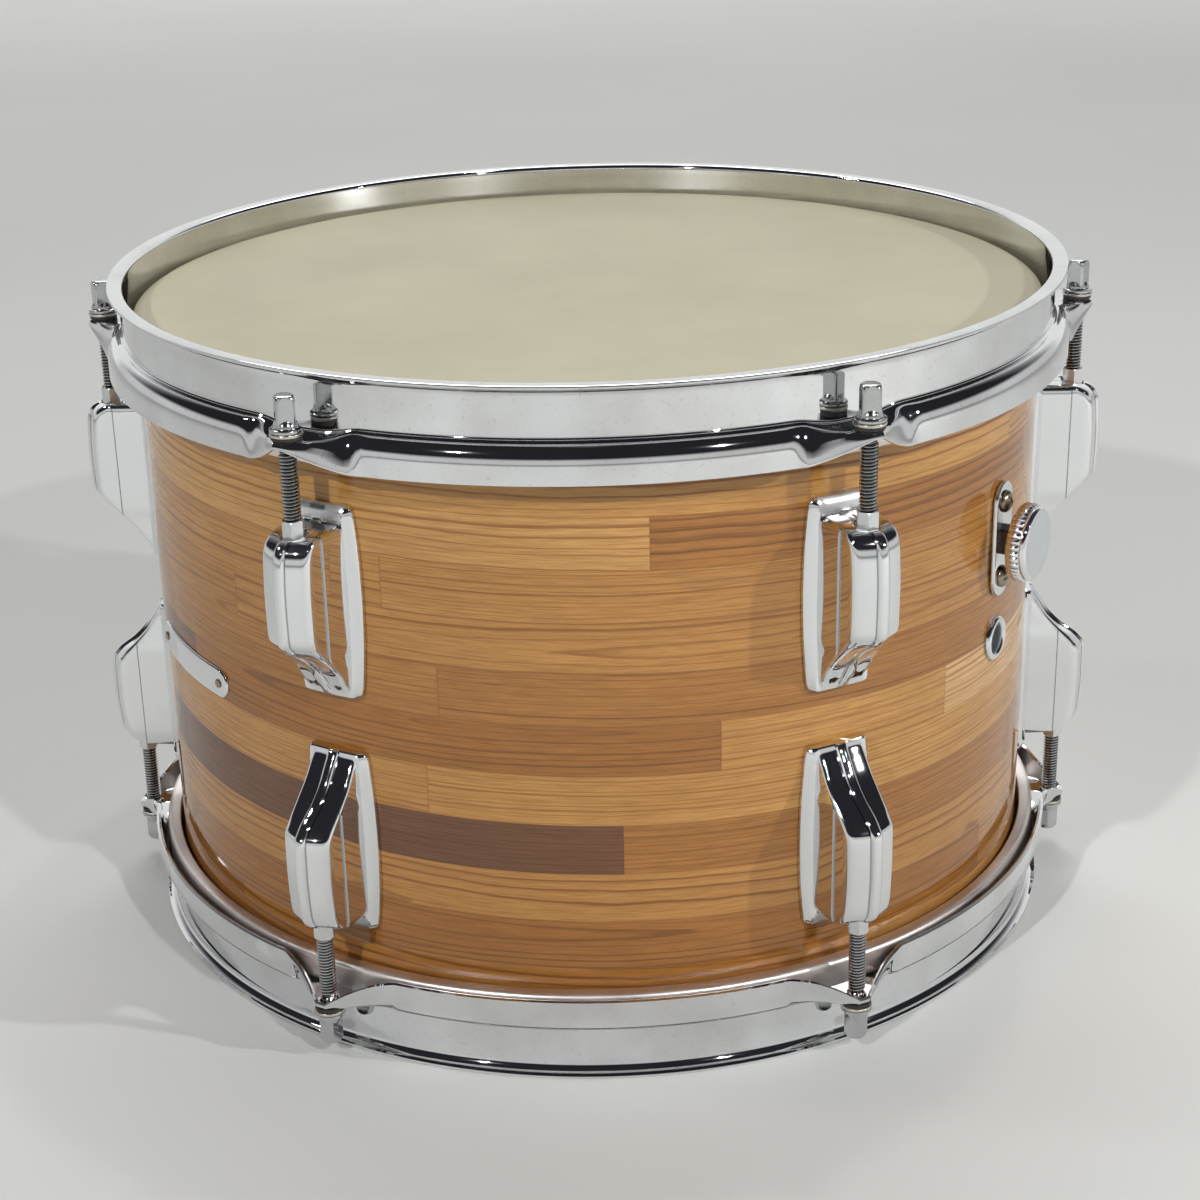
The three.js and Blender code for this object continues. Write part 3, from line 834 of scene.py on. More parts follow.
def shell_mesh():
    peak = SHELL_RADIUS - EDGE_INSET
    bevel = peak - INNER_RADIUS
    bottom = HEIGHT - SHELL_TOP
    rounding = (EDGE_ROUND, EDGE_ROUND)
    top_edge = [
        *arc((SHELL_RADIUS - EDGE_ROUND, SHELL_TOP - EDGE_ROUND), rounding, 0, 70, 5),
        (peak, SHELL_TOP),
        (INNER_RADIUS, SHELL_TOP - bevel),
    ]
    inside = (SHELL_TOP - bevel, bottom + bevel)
    outside = (bottom + EDGE_ROUND, SHELL_TOP - EDGE_ROUND)
    inner_wall = [(INNER_RADIUS, mixed(*inside, step / 8)) for step in range(1, 8)]
    bottom_edge = [(radius, HEIGHT - z) for radius, z in reversed(top_edge)]
    outer_wall = [(SHELL_RADIUS, mixed(*outside, step / 20)) for step in range(1, 20)]
    mesh = turned("shell_fine", [*top_edge, *inner_wall, *bottom_edge, *outer_wall])
    middle = SHELL_RADIUS - SHELL_WALL / 2
    holes = []
    for radius, z in ((SPINDLE_HOLE, PLATE_CENTRE), (VENT_HOLE, VENT_CENTRE)):
        hole = drill(radius, middle - SHELL_WALL, middle + SHELL_WALL)
        holes.append(moved(hole, out_of_shell(FITTING_ANGLE, z)))
    return cut(mesh, holes)


def add_shell():
    mesh = shell_mesh()
    mesh.materials.append(WRAP)
    wrap_inside = SHELL_RADIUS - 0.6
    face_material(mesh, BARE_WOOD, lambda centre: math.hypot(centre.x, centre.y) <= wrap_inside)
    placed("shell_wrapped", mesh, Matrix.Identity(4), None, "drum", ["shell"], "wrapped_wood")


# Heads

def channel_mesh():
    slot_inside = CHANNEL_INSIDE + 1
    slot_outside = CHANNEL_OUTSIDE - 1
    slot_floor = CHANNEL_FLOOR + 1.6
    return turned("flesh_hoop_fine", rounded([
        (CHANNEL_INSIDE, CHANNEL_FLOOR, 0.5),
        (CHANNEL_OUTSIDE, CHANNEL_FLOOR, 1.6),
        (CHANNEL_OUTSIDE, CHANNEL_MOUTH, 0.3),
        (slot_outside, CHANNEL_MOUTH, 0.3),
        (slot_outside, slot_floor, 0),
        (slot_inside, slot_floor, 0),
        (slot_inside, CHANNEL_MOUTH, 0.3),
        (CHANNEL_INSIDE, CHANNEL_MOUTH, 0.3),
    ]))


def film_mesh():
    crown = SHELL_RADIUS - EDGE_INSET
    bend = 2.4
    collar = SHELL_RADIUS + 0.6
    skirt = CHANNEL_INSIDE + 1.5
    foot = CHANNEL_FLOOR + 2.2
    over = [
        *[(crown * share, FILM_TOP) for share in (0.25, 0.5, 0.75, 0.9)],
        *arc((crown, FILM_TOP - bend), (collar + FILM_THICKNESS - crown, bend), 90, 0, 8),
        (skirt + FILM_THICKNESS, CHANNEL_MOUTH),
        (skirt + FILM_THICKNESS, foot),
    ]
    under = [
        (skirt, foot),
        (skirt, CHANNEL_MOUTH),
        *arc((crown, FILM_TOP - bend), (collar - crown, bend - FILM_THICKNESS), 0, 90, 8),
        *[(crown * share, FILM_TOP - FILM_THICKNESS) for share in (0.9, 0.75, 0.5, 0.25)],
    ]
    return turned("film_fine", [(0, FILM_TOP), *over, *under, (0, FILM_TOP - FILM_THICKNESS)])


def add_heads():
    channel = channel_mesh()
    film = film_mesh()
    looks = {"batter": (COATED_FILM, "coated_film"), "resonant": (PLAIN_FILM, "plain_film")}
    for side, matrix in halves():
        placed(f"{side}_flesh_hoop_fine", channel.copy(), matrix, ALUMINIUM, "drum",
               [f"{side}_flesh_hoop"], "aluminium")
        material, slot = looks[side]
        placed(f"{side}_film_fine", film.copy(), matrix, material, "drum", [f"{side}_film"], slot)


# Hoops

def hoop_line(flat, edge, flare):
    """Middle line of the sheet below the rim as (radius, depth).

    Each share runs from 0 away from the lugs to 1 at an ear, and flare does so in one short step.
    """
    shoulder_radius = HOOP_WALL + SHOULDER_BEND
    shoulder_line = SHOULDER_DEPTH + HALF_GAUGE
    wall = [(HOOP_WALL, depth) for depth in WALL_DEPTHS]
    fall = mixed(shoulder_line, EAR_LINE, flat)
    bend = arc((shoulder_radius, fall - SHOULDER_BEND), (SHOULDER_BEND, SHOULDER_BEND), 180, 90, 5)
    ear_bend = (EAR_RADIUS - HALF_GAUGE - EAR_BEND, EAR_LINE + EAR_BEND)
    skirt_radius = SKIRT_MIDDLE + FLARE * flare
    skirt_reach = skirt_radius - shoulder_radius
    shaped = []
    steps = 12
    for step in range(1, steps + 1):
        share = step / steps
        turn = math.radians(-90 + 90 * share)
        bead = (
            shoulder_radius + (SKIRT_MIDDLE - shoulder_radius) * math.cos(turn),
            shoulder_line + BEAD_FALL + BEAD_FALL * math.sin(turn),
        )
        swept = (
            shoulder_radius + 2 * share * (1 - share) * FLARE_BEND + share ** 2 * skirt_reach,
            shoulder_line + share ** 2 * (SKIRT_DEPTH - HALF_GAUGE - shoulder_line),
        )
        plain = (mixed(bead[0], swept[0], flare), mixed(bead[1], swept[1], flare))
        ear_turn = math.radians(-90 + 90 * max(0, 3 * share - 2))
        ear = (
            mixed(shoulder_radius, ear_bend[0], min(1.5 * share, 1)) + EAR_BEND * math.cos(ear_turn),
            ear_bend[1] + EAR_BEND * math.sin(ear_turn),
        )
        outward = mixed(flat, edge, smooth_share(share, 0.25, 0.75))
        downward = mixed(flat, edge, smooth_share(share, 0.55, 1))
        shaped.append((mixed(plain[0], ear[0], outward), mixed(plain[1], ear[1], downward)))
    lip = (
        mixed(skirt_radius, EAR_RADIUS - HALF_GAUGE, edge),
        mixed(SKIRT_DEPTH - 0.2, EAR_LINE + EAR_DROP, edge),
    )
    last = shaped[-1]
    skirt = [(mixed(last[0], lip[0], share), mixed(last[1], lip[1], share)) for share in (0.35, 0.7, 1)]
    return [*wall, *bend, *shaped, *skirt]


def hoop_section(angle):
    """The closed outline of the hoop's sheet at an angle, as (radius, z)."""
    away = abs(angle - round(angle / LUG_PITCH) * LUG_PITCH)
    flat = 1 - smooth_share(away, EAR_CROWN, EAR_SPREAD)
    edge = max(0, 1 - max(0, away - EAR_TIP) / EAR_SPREAD) ** EAR_SHARPNESS
    flare = 1 - smooth_share(away, FLARE_START, FLARE_END)
    line = [Vector(point) for point in hoop_line(flat, edge, flare)]
    sides = [direction * HALF_GAUGE for direction in crosswise(line)]
    inner = [point - side for point, side in zip(line, sides)]
    outer = [point + side for point, side in zip(line, sides)]
    along = (line[-1] - line[-2]).normalized()
    tip = line[-1] + along * HALF_GAUGE * 0.45
    inside = HOOP_WALL - HALF_GAUGE
    outside = HOOP_WALL + HALF_GAUGE
    rim_inner = arc((inside + RIM_BEND, RIM_BEND), (RIM_BEND, RIM_BEND), 270, 180, 4)
    fillet = (RIM_RADIUS - 0.3 - outside, RIM_SLOPE)
    rim_outer = [
        *reversed(arc((outside + fillet[0], RIM_LIP + 0.1 + fillet[1]), fillet, 270, 180, 8)),
        (RIM_RADIUS - 0.1, RIM_LIP + 0.05),
        (RIM_RADIUS, RIM_LIP - 0.15),
        (RIM_RADIUS, 0.45),
        (RIM_RADIUS - 0.15, 0.12),
        (RIM_RADIUS - 0.5, 0),
    ]
    section = [*rim_inner, *inner, tip, *reversed(outer), *rim_outer]
    return [(point[0], HEIGHT - point[1]) for point in section]


def hoop_mesh():
    """The hoop, with its stations crowded towards the ears, and a hole in each ear."""
    count = LUG_COUNT * STATIONS_PER_LUG
    points = []
    for index in range(count):
        even = TAU * index / count
        angle = even - CROWDING * math.sin(LUG_COUNT * even) / LUG_COUNT
        section = hoop_section(angle)
        points += at_angle(section, angle)
    mesh = mesh_from("hoop_fine", points, grid_faces(count, len(section), True, True), 28)
    hole = drill(ROD_HOLE, HEIGHT - HOLE_FLOOR, HEIGHT - HOLE_TOP)
    places = [round_z(index * LUG_PITCH) @ shifted(ROD_RADIAL, 0, 0) for index in range(LUG_COUNT)]
    return cut(mesh, [moved(hole, place) for place in places])


def add_hoops():
    mesh = hoop_mesh()
    for side, matrix in halves():
        placed(f"{side}_hoop_fine", mesh.copy(), matrix, HOOP_CHROME, "drum",
               [f"{side}_hoop"], "chrome")


# Lugs

# Along a lug, by depth below the upper rim: how high its crest stands, how far its flange and its body
# reach to each side, and how wide the flange's bevel is
LUG_CREST = [
    (LUG_START, 1.3), (LUG_START + 0.5, 1.9), (LUG_START + 2.4, 2.9), (LUG_BODY_START - 1.4, 3.0),
    (LUG_BODY_START - 0.8, 3.12), (LUG_BODY_START - 0.4, 3.45), (LUG_BODY_START - 0.15, 3.95),
    (LUG_BODY_START - 0.03, 4.6), (LUG_BODY_START + 0.02, 5.4), (LUG_BODY_START + 0.5, 14.3),
    (LUG_BODY_START + 1.0, 17.6), (LUG_BODY_START + 1.6, 19.3), (LUG_BODY_START + 2.6, 21.0),
    (LUG_BODY_START + 4.2, 22.4), (LUG_BODY_START + 7.1, 23.4), (58.7, 23.8), (66.5, 24.2),
    (78.3, 24.0), (80.3, 23.6), (81.6, 22.6), (84.3, 20.1), (87.9, 15.1), (92.7, 10.4), (97.4, 7.3),
    (100.5, 5.2), (LUG_END - 0.4, 3.6), (LUG_END, 2.6),
]
LUG_FLANGE = [
    (LUG_START, 8.6), (LUG_START + 0.3, 9.9), (LUG_START + 1, 10.7), (LUG_START + 2.5, 11.3),
    (50, 12.0), (60, 12.7), (72, 12.9), (84, 12.6), (94, 11.9), (LUG_END - 2.2, 11.2),
    (LUG_END - 0.8, 10.7), (LUG_END - 0.2, 10.0), (LUG_END, 9.4),
]
LUG_BODY = [
    (LUG_START, 7.5), (LUG_BODY_START + 0.5, 7.6), (LUG_BODY_START + 1.0, 7.9),
    (LUG_BODY_START + 1.6, 8.15), (LUG_BODY_START + 2.6, 8.36), (LUG_BODY_START + 4.2, 8.45), (70, 8.4),
    (92, 8.45), (LUG_END, 8.0),
]
LUG_BEVEL = [
    (LUG_START, 1.2), (LUG_START + 2.5, 1.8), (LUG_BODY_START, 2.4), (52, 2.9), (60, 3.3), (84, 3.3),
    (91, 2.6), (98, 2.1), (LUG_END - 0.8, 1.6), (LUG_END, 1.2),
]
# Across a lug from its middle: place, then the drops of the rib's flank and of the sloping lands. The
# places of the second table are measured in from the body's edge.
LUG_RIB = [
    (0, 0, 0), (0.7, 0.04, 0), (1.2, 0.16, 0), (1.5, 0.4, 0), (1.7, 0.75, 0), (1.85, 1.1, 0),
    (2.05, 1.32, 0), (2.4, 1.38, 0.05), (4.5, 1.38, 0.75),
]
LUG_EDGE = [(1.9, 1.38, 1.45), (1.1, 1.48, 1.75), (0.5, 1.7, 2.05), (0.15, 2.2, 2.3), (0, 2.9, 2.5)]
# The depths of a lug's cross sections, close together where its crest bends
LUG_DEPTHS = [
    41.6, 41.9, 42.6, 43.3, 44.0, 44.8, 45.6, 46.2, 46.6, 46.85, 46.97, 47.02, 47.25, 47.5, 47.75, 48.0,
    48.3, 48.6, 49.1, 49.6, 50.3, 51.2, 52.4, 54.1, 56.5, 59, 63, 67, 71, 75, 78, 79.2, 80.3, 81, 81.6,
    82.4, 83.3, 84.3, 86, 87.9, 90, 92.7, 95, 97.4, 99, 100.5, 101.8, 102.6, 103.1,
]


def lug_section(depth):
    """One half of a lug's outline across, from its middle out, as (across, above the shell)."""
    crest = interpolated(LUG_CREST, depth)
    flange = interpolated(LUG_FLANGE, depth)
    body = interpolated(LUG_BODY, depth)
    bevel_in = flange - interpolated(LUG_BEVEL, depth)
    bevel_foot = min(LUG_BEVEL_FOOT, crest)
    bevel_top = min(LUG_BEVEL_TOP, crest)
    relief = min(1, max(0, (crest - LUG_BEVEL_TOP) / 1.2))
    roof = relief * smooth_share(crest, 13, 22)
    top = []
    for place, rib, land in [*LUG_RIB, *[(body - inset, *drops) for inset, *drops in LUG_EDGE]]:
        top.append((min(place, bevel_in), max(crest - rib * relief - land * roof, bevel_top)))
    side_top = top[-1][1]
    ledge = max(0, min(LEDGE_WIDTH, bevel_in - body - 0.1)) * smooth_share(crest, 13.5, 17)
    draft = max(0, min(SIDE_DRAFT, bevel_in - body - ledge))
    above = [17, 15, LEDGE_HEIGHT + 0.3]
    below = [LEDGE_HEIGHT, LEDGE_HEIGHT - 0.25, 8, bevel_top + 0.7, bevel_top]
    side = []
    for level, step_out in [*((level, 0) for level in above), *((level, ledge) for level in below)]:
        height = max(min(level, side_top), bevel_top)
        share = (side_top - height) / max(side_top - bevel_top, 0.01)
        side.append((min(body + draft * share + step_out, bevel_in), height))
    base = [
        (bevel_in, bevel_top), (flange - 0.35, bevel_foot + 0.12), (flange - 0.08, bevel_foot - 0.1),
        (flange, max(bevel_foot - 0.4, 0.2)), (flange, 0),
    ]
    return [*top, *side, *base]


def lug_mesh():
    """A lug with its back curved to the shell, and the bore that the nut and the rod go into."""
    points = []
    for depth in LUG_DEPTHS:
        half = lug_section(depth)
        outline = [*reversed(half), *[(-x, y) for x, y in half[1:]]]
        for x, y in outline:
            sag = SHELL_RADIUS - math.sqrt(SHELL_RADIUS ** 2 - x * x)
            points.append((LUG_SEAT + y - sag, -x, HEIGHT - depth))
    columns = len(outline)
    rows = len(LUG_DEPTHS)
    faces = grid_faces(rows, columns, False, True)
    faces += [tuple(range(columns)), tuple(reversed(range((rows - 1) * columns, rows * columns)))]
    mesh = mesh_from("lug_fine", points, faces, 40)
    floor = HEIGHT - ROD_TIP_DEPTH - 1
    neck = HEIGHT - LUG_BODY_START - LUG_NECK
    top = HEIGHT - LUG_START
    bore = turned("bore", [
        (0, floor), (LUG_BORE, floor), (LUG_BORE, neck), (LUG_NECK_BORE, neck), (LUG_NECK_BORE, top),
        (0, top),
    ], 40)
    return cut(mesh, [moved(bore, shifted(ROD_RADIAL, 0, 0))])


# Tension rods, washers and nuts

def square_reach(angle, half_width, corner):
    """How far a square with rounded corners reaches at an angle."""
    folded = abs((angle + math.pi / 4) % (math.pi / 2) - math.pi / 4)
    flat_reach = half_width / math.cos(folded)
    inner = half_width - corner
    along = inner * (math.cos(folded) + math.sin(folded))
    off = inner * (math.cos(folded) - math.sin(folded))
    round_reach = along + math.sqrt(max(corner ** 2 - off ** 2, 0))
    return min(flat_reach, round_reach) if folded > math.atan2(inner, half_width) else flat_reach


def rod_head_rings():
    """Rings from the head's face to the collar's underside, each a depth and its reaches."""
    turned_edge = [(0.0, 2.6), (0.25, 3.0), (0.6, 3.3), (1.0, 3.5), (1.5, 3.62), (2.1, 3.68)]
    cone = [(6.6, 2.3), (7.0, 2.75), (7.5, 3.1), (8.2, 3.5), (8.7, 3.72), (9.3, 3.8), (9.65, 4.0)]
    collar = [
        (9.75, 4.6), (9.9, 4.85), (10.15, 4.9), (10.5, 4.9), (10.7, 4.82), (10.8, 4.6),
        (10.8, SHANK_RADIUS),
    ]
    depths = [0, 0.12, 0.25, 0.42, 0.6, 0.85, 1.1, 1.4, 1.7, 2.1, 2.6, 3.4, 4.4, 5.4, 6.2]
    depths += [6.6 + 0.15 * step for step in range(21)]
    squares = [
        square_reach(TAU * step / SMALL_STEPS, HEAD_HALF_WIDTH, HEAD_CORNER)
        for step in range(SMALL_STEPS)
    ]
    rings = []
    for depth in depths:
        lathe = interpolated(turned_edge, depth)
        base = interpolated(cone, depth) if depth >= cone[0][0] else 0
        rings.append((depth, [max(min(square, lathe), base) for square in squares]))
    return rings + [(depth, [radius] * SMALL_STEPS) for depth, radius in collar]


def rod_mesh():
    """A rod with its square head, cone, collar, plain shank, and the thread wound on its core."""
    shank = [(depth, SHANK_RADIUS) for depth in (18, THREAD_START - 0.5, THREAD_START)]
    core = [(depth, THREAD_ROOT - 0.1) for depth in (THREAD_START + 0.6, ROD_TIP_DEPTH)]
    rings = rod_head_rings()
    rings += [(depth - HEAD_DEPTH, [radius] * SMALL_STEPS) for depth, radius in [*shank, *core]]
    points = [(0, 0, HEIGHT - HEAD_DEPTH)]
    for depth, reaches in rings:
        points += ring(reaches, HEIGHT - HEAD_DEPTH - depth)
    faces = [(0, 1 + step, 1 + (step + 1) % SMALL_STEPS) for step in range(SMALL_STEPS)]
    sides = grid_faces(len(rings), SMALL_STEPS, False, True)
    faces += [tuple(1 + index for index in face) for face in sides]
    faces.append(tuple(range(len(points) - SMALL_STEPS, len(points))))
    thread_points, thread_faces = thread(THREAD_START, ROD_TIP_DEPTH - 0.4)
    faces += [tuple(len(points) + index for index in face) for face in thread_faces]
    return mesh_from("rod_fine", points + thread_points, faces, 32)


def thread(start_depth, end_depth):
    """A right-handed helical thread between two depths, as points and faces."""
    per_turn = 20
    turns = int((end_depth - start_depth) / THREAD_PITCH)
    profile = [
        (0.0, THREAD_ROOT), (0.1, THREAD_ROOT + 0.03), (0.37, THREAD_CREST - 0.05),
        (0.51, THREAD_CREST), (0.65, THREAD_CREST - 0.05), (0.92, THREAD_ROOT + 0.03),
    ]
    points = []
    for step in range(turns * per_turn + 1):
        angle = TAU * step / per_turn
        for share, radius in profile:
            z = HEIGHT - start_depth - THREAD_PITCH * (step / per_turn + share)
            reach = mixed(THREAD_ROOT - 0.05, radius, min(1, step / per_turn))
            points.append((reach * math.cos(-angle), reach * math.sin(-angle), z))
    columns = len(profile)
    faces = grid_faces(turns * per_turn + 1, columns)
    for step in range((turns - 1) * per_turn):
        here = step * columns + columns - 1
        below = (step + per_turn) * columns
        faces.append((here, here + columns, below + columns, below))
    return points, faces


def washer_meshes():
    """The steel washer under a rod's collar, and the thin dark one under that."""
    top = HEIGHT - COLLAR_UNDER - COLLAR_GAP
    meshes = []
    for name, bore, reach, low, high, low_round, high_round in (
        ("washer_fine", 2.75, 4.95, top - 1.0, top, 0.3, 0.25),
        ("spacer_fine", 2.7, 4.6, top - 2.1, top - 1.02, 0.2, 0.2),
    ):
        outline = rounded([
            (bore, low, 0.1), (reach, low, low_round), (reach, high, high_round), (bore, high, 0.1),
        ])
        meshes.append(turned(name, outline, SMALL_STEPS))
    return meshes


def nut_mesh():
    """A nut's six-sided neck and its round collar inside the lug."""
    seat = LUG_BODY_START + LUG_NECK + 0.1
    # Each ring's depth, its reach and whether it is round
    rows = [
        (NUT_TOP + 0.9, NUT_BORE, True), (NUT_TOP + 0.25, NUT_BORE + 0.1, True), (NUT_TOP, 3.1, True),
        (NUT_TOP, 3.18, False), (NUT_TOP + 0.35, 3.5, False), (seat, 3.52, False),
        (seat + 0.1, NUT_COLLAR, True), (seat + NUT_LENGTH, NUT_COLLAR, True),
        (seat + NUT_LENGTH, NUT_BORE, True),
    ]
    sixth = math.pi / 3
    folded = [(TAU * step / SMALL_STEPS + sixth / 2) % sixth - sixth / 2 for step in range(SMALL_STEPS)]
    flats = [NUT_HALF_WIDTH / math.cos(angle) for angle in folded]
    return stacked("nut_fine", [
        (HEIGHT - depth, [reach if is_round else min(reach, flat) for flat in flats])
        for depth, reach, is_round in rows
    ], True, 30)


def add_tensioners():
    lug, nut, rod = lug_mesh(), nut_mesh(), rod_mesh()
    washer, spacer = washer_meshes()
    for side, half in halves():
        for number in range(1, LUG_COUNT + 1):
            on_shell = half @ round_z((number - 1) * LUG_PITCH)
            on_axis = on_shell @ shifted(ROD_RADIAL, 0, 0)
            turned_rod = on_axis @ round_z(FIRST_ROD_TURN + ROD_TURN_STEP * number)
            rod_body = f"{side}_tension_rod_{number}"
            washer_body = f"{side}_washer_{number}"
            for name, mesh, matrix, material, body, nodes, slot in (
                ("lug_fine", lug, on_shell, LUG_CHROME, "drum", [f"{side}_lug_{number}"], "chrome"),
                ("nut_fine", nut, on_axis, NUT_STEEL, "drum", [f"{side}_swivel_nut_{number}"], "steel"),
                ("rod_fine", rod, turned_rod, ROD_STEEL, rod_body, [rod_body], "steel"),
                ("washer_fine", washer, turned_rod, WASHER_STEEL, washer_body, [washer_body], "steel"),
                ("spacer", spacer, turned_rod, RUBBER, washer_body, [], "steel"),
            ):
                placed(f"{side}_{name}_{number}", mesh.copy(), matrix, material, body, nodes, slot)


# Muffler and vent

def knob_mesh():
    """The ribbed knob with its spindle, which ends in a flange inside the muffler's arm."""
    ribs = 38
    per_rib = 8
    rib_depth = 0.85
    tail = INNER_RADIUS - ARM_STANDOFF - ARM_THICKNESS - 0.3 - KNOB_BACK
    # Each ring's place out from the knob's back, its reach and how strongly it is ribbed
    rows = [
        (tail - 1.6, 0, 0), (tail - 1.6, 4.7, 0), (tail - 1.3, 5, 0), (tail - 0.3, 5, 0), (tail, 4.7, 0),
        (tail, SPINDLE_RADIUS, 0), (0, SPINDLE_RADIUS, 0), (0, 11.0, 0), (0.35, 11.7, 0.4),
        (0.9, 12.5, 1), (1.4, 12.75, 1), (4.1, 12.75, 1), (4.6, 12.5, 0.9), (4.85, 12.2, 0.3),
        (4.95, 12.0, 0), (5.15, 12.05, 0), (5.5, 12.1, 0), (6.1, 11.9, 0), (6.6, 11.5, 0),
        (6.9, 11.0, 0), (6.98, 10.7, 0), (6.9, 10.4, 0), (6.86, 8, 0), (6.86, 4, 0), (6.86, 0, 0),
    ]
    off_ridges = [2 * abs((step / per_rib) % 1 - 0.5) for step in range(ribs * per_rib)]
    grooves = [rib_depth * (1 - math.sqrt(1 - 0.96 * off_ridge ** 2)) for off_ridge in off_ridges]
    return stacked("knob_fine", [
        (KNOB_BACK + rise, [reach - groove * ribbed for groove in grooves])
        for rise, reach, ribbed in rows
    ], False, 38)


def plate_mesh():
    """The stadium-shaped plate, with the spindle's bore through it."""
    steps = 72
    straight = PLATE_HALF_LENGTH - PLATE_HALF_WIDTH
    edge = [(0, 0.2), (0.2, 0), (1.2, 0), (1.38, 0.08), (1.48, 0.22), (PLATE_THICKNESS, 0.45)]
    rows = [(0, None), *edge, (PLATE_THICKNESS, None)]
    points = []
    for rise, inset in rows:
        reach = PLATE_BORE if inset is None else PLATE_HALF_WIDTH - inset
        for step in range(steps):
            angle = TAU * (step + 0.5) / steps
            end = 0 if inset is None else math.copysign(straight, math.cos(angle))
            points.append((end + reach * math.cos(angle), reach * math.sin(angle), PLATE_BACK + rise))
    return mesh_from("plate_fine", points, grid_faces(len(rows), steps, True, True), 30)


def post_mesh():
    """The square post that stands on the plate and carries the knob's spindle."""
    half_side = 4
    low = PLATE_BACK + PLATE_THICKNESS
    high = low + POST_LENGTH
    sides = [(low, half_side), (high - 0.3, half_side), (high, half_side - 0.3)]
    rings = [
        (z, [square_reach(TAU * step / SMALL_STEPS, half_width, 0.5) for step in range(SMALL_STEPS)])
        for z, half_width in sides
    ]
    rings += [(z, [PLATE_BORE] * SMALL_STEPS) for z in (high, low)]
    return stacked("post_fine", rings, True, 30)


def dome_screw_mesh(radius, rise, slot_width):
    """A dome-headed screw's head on z = 0, with a driver's slot."""
    dome = arc((0, 0.35), (radius, rise - 0.35), 0, 86, 9)
    head = turned("dome_screw", [(radius - 0.2, 0), (radius, 0.12), *dome, (0, rise), (0, 0)], 40)
    return cut(head, [slot_cutter(radius, slot_width / 2, rise * 0.62, rise + 1)])


def arm_mesh():
    """The muffler's arm: a strip bent twice, in its own upright frame, as (outward, across, up)."""
    half_gauge = ARM_THICKNESS / 2
    shelf = PAD_UNDER - 0.3 - half_gauge
    line_out = INNER_RADIUS - ARM_STANDOFF - half_gauge
    line_in = INNER_RADIUS - ARM_REACH
    knots = [
        (line_out, -ARM_FOOT), (line_out, ARM_KNEE - 3), (line_out - 0.6, ARM_KNEE),
        (line_out - 2.6, ARM_KNEE + 3), (mixed(line_out, line_in, 0.55), mixed(ARM_KNEE, shelf, 0.55)),
        (line_in + 2.2, shelf - 2.4), (line_in + 0.4, shelf - 0.6), (line_in - 2, shelf),
        (line_in - 2 * PAD_RADIUS * 0.45, shelf), (line_in - PAD_RADIUS, shelf),
    ]
    widths = [0.72, *[1] * (len(knots) - 2), 0.8]
    line = [Vector(knot) for knot in knots]
    points = []
    for knot, direction, width in zip(line, crosswise(line), widths):
        side = direction * half_gauge
        edge = ARM_HALF_WIDTH * width
        flat = edge - 0.4
        outline = [
            (edge, 0.5), (flat, 1), (0, 1), (-flat, 1), (-edge, 0.5),
            (-edge, -0.5), (-flat, -1), (0, -1), (flat, -1), (edge, -0.5),
        ]
        for across, share in outline:
            place = knot + side * share
            points.append((place.x, across, place.y))
    columns = len(outline)
    faces = grid_faces(len(knots), columns, False, True)
    faces += [tuple(range(columns)), tuple(range(len(points) - columns, len(points)))]
    strip = mesh_from("arm_fine", points, faces, 40)
    hole = drill(ARM_HOLE, INNER_RADIUS - 12, INNER_RADIUS)
    return cut(strip, [moved(hole, Matrix.Rotation(math.pi / 2, 4, "Y"))])


def pad_mesh():
    """The pressed felt pad: crowned faces, a bulging side and a slightly uneven surface."""
    profile = [
        (0, 0.25), (5, 0.2), (9, 0.05), (10.6, 0.1), (11.4, 0.6), (11.7, 1.6), (11.78, 3), (11.8, 4.5),
        (11.75, 6), (11.6, 7.2), (11.2, 8.1), (10.4, 8.6), (9, 8.75), (6, 8.85), (3, 8.9), (0, 8.92),
    ]
    mesh = turned("pad_fine", [(radius, PAD_UNDER + z) for radius, z in profile], 72, 60)
    for vertex in mesh.vertices:
        uneven = noise.noise(vertex.co / MM * 0.35)
        vertex.co += vertex.normal * (0.1 * uneven - 0.08) * MM
    return moved(mesh, shifted(INNER_RADIUS - ARM_REACH - PAD_RADIUS, 0, 0))


def add_muffler():
    outward = out_of_shell(FITTING_ANGLE, PLATE_CENTRE)
    swung = shifted(0, 0, PLATE_CENTRE) @ round_z(FITTING_ANGLE) @ Matrix.Rotation(ARM_SWING, 4, "X")
    knob = placed("knob_fine", knob_mesh(), outward, CHROME, "muffler", ["muffler_knob"], "chrome")
    face_material(knob.data, SATIN, lambda centre: (
        centre.z > KNOB_BACK + KNOB_FACE and math.hypot(centre.x, centre.y) < KNOB_FACE_RADIUS
    ))
    placed("plate_fine", plate_mesh(), outward, CHROME, "drum", ["muffler_plate"], "chrome")
    placed("post_fine", post_mesh(), outward, DARK_STEEL, "drum", ["muffler_plate"], "chrome")
    screw = dome_screw_mesh(3.65, 2.3, 0.9)
    for number, side in enumerate((-1, 1)):
        off_centre = side * PLATE_SCREW_SPACING / 2
        on_plate = outward @ shifted(off_centre, 0, PLATE_BACK + PLATE_THICKNESS)
        screw_place = on_plate @ round_z(0.5 + number)
        placed(f"plate_screw_{number + 1}", screw.copy(), screw_place, NICKEL, "drum", [], "steel")
    placed("arm_fine", arm_mesh(), swung, SPRING, "muffler", ["muffler_arm"], "spring_steel")
    pad = placed("pad_fine", pad_mesh(), swung, FELT, "muffler", ["muffler_pad"], "felt")


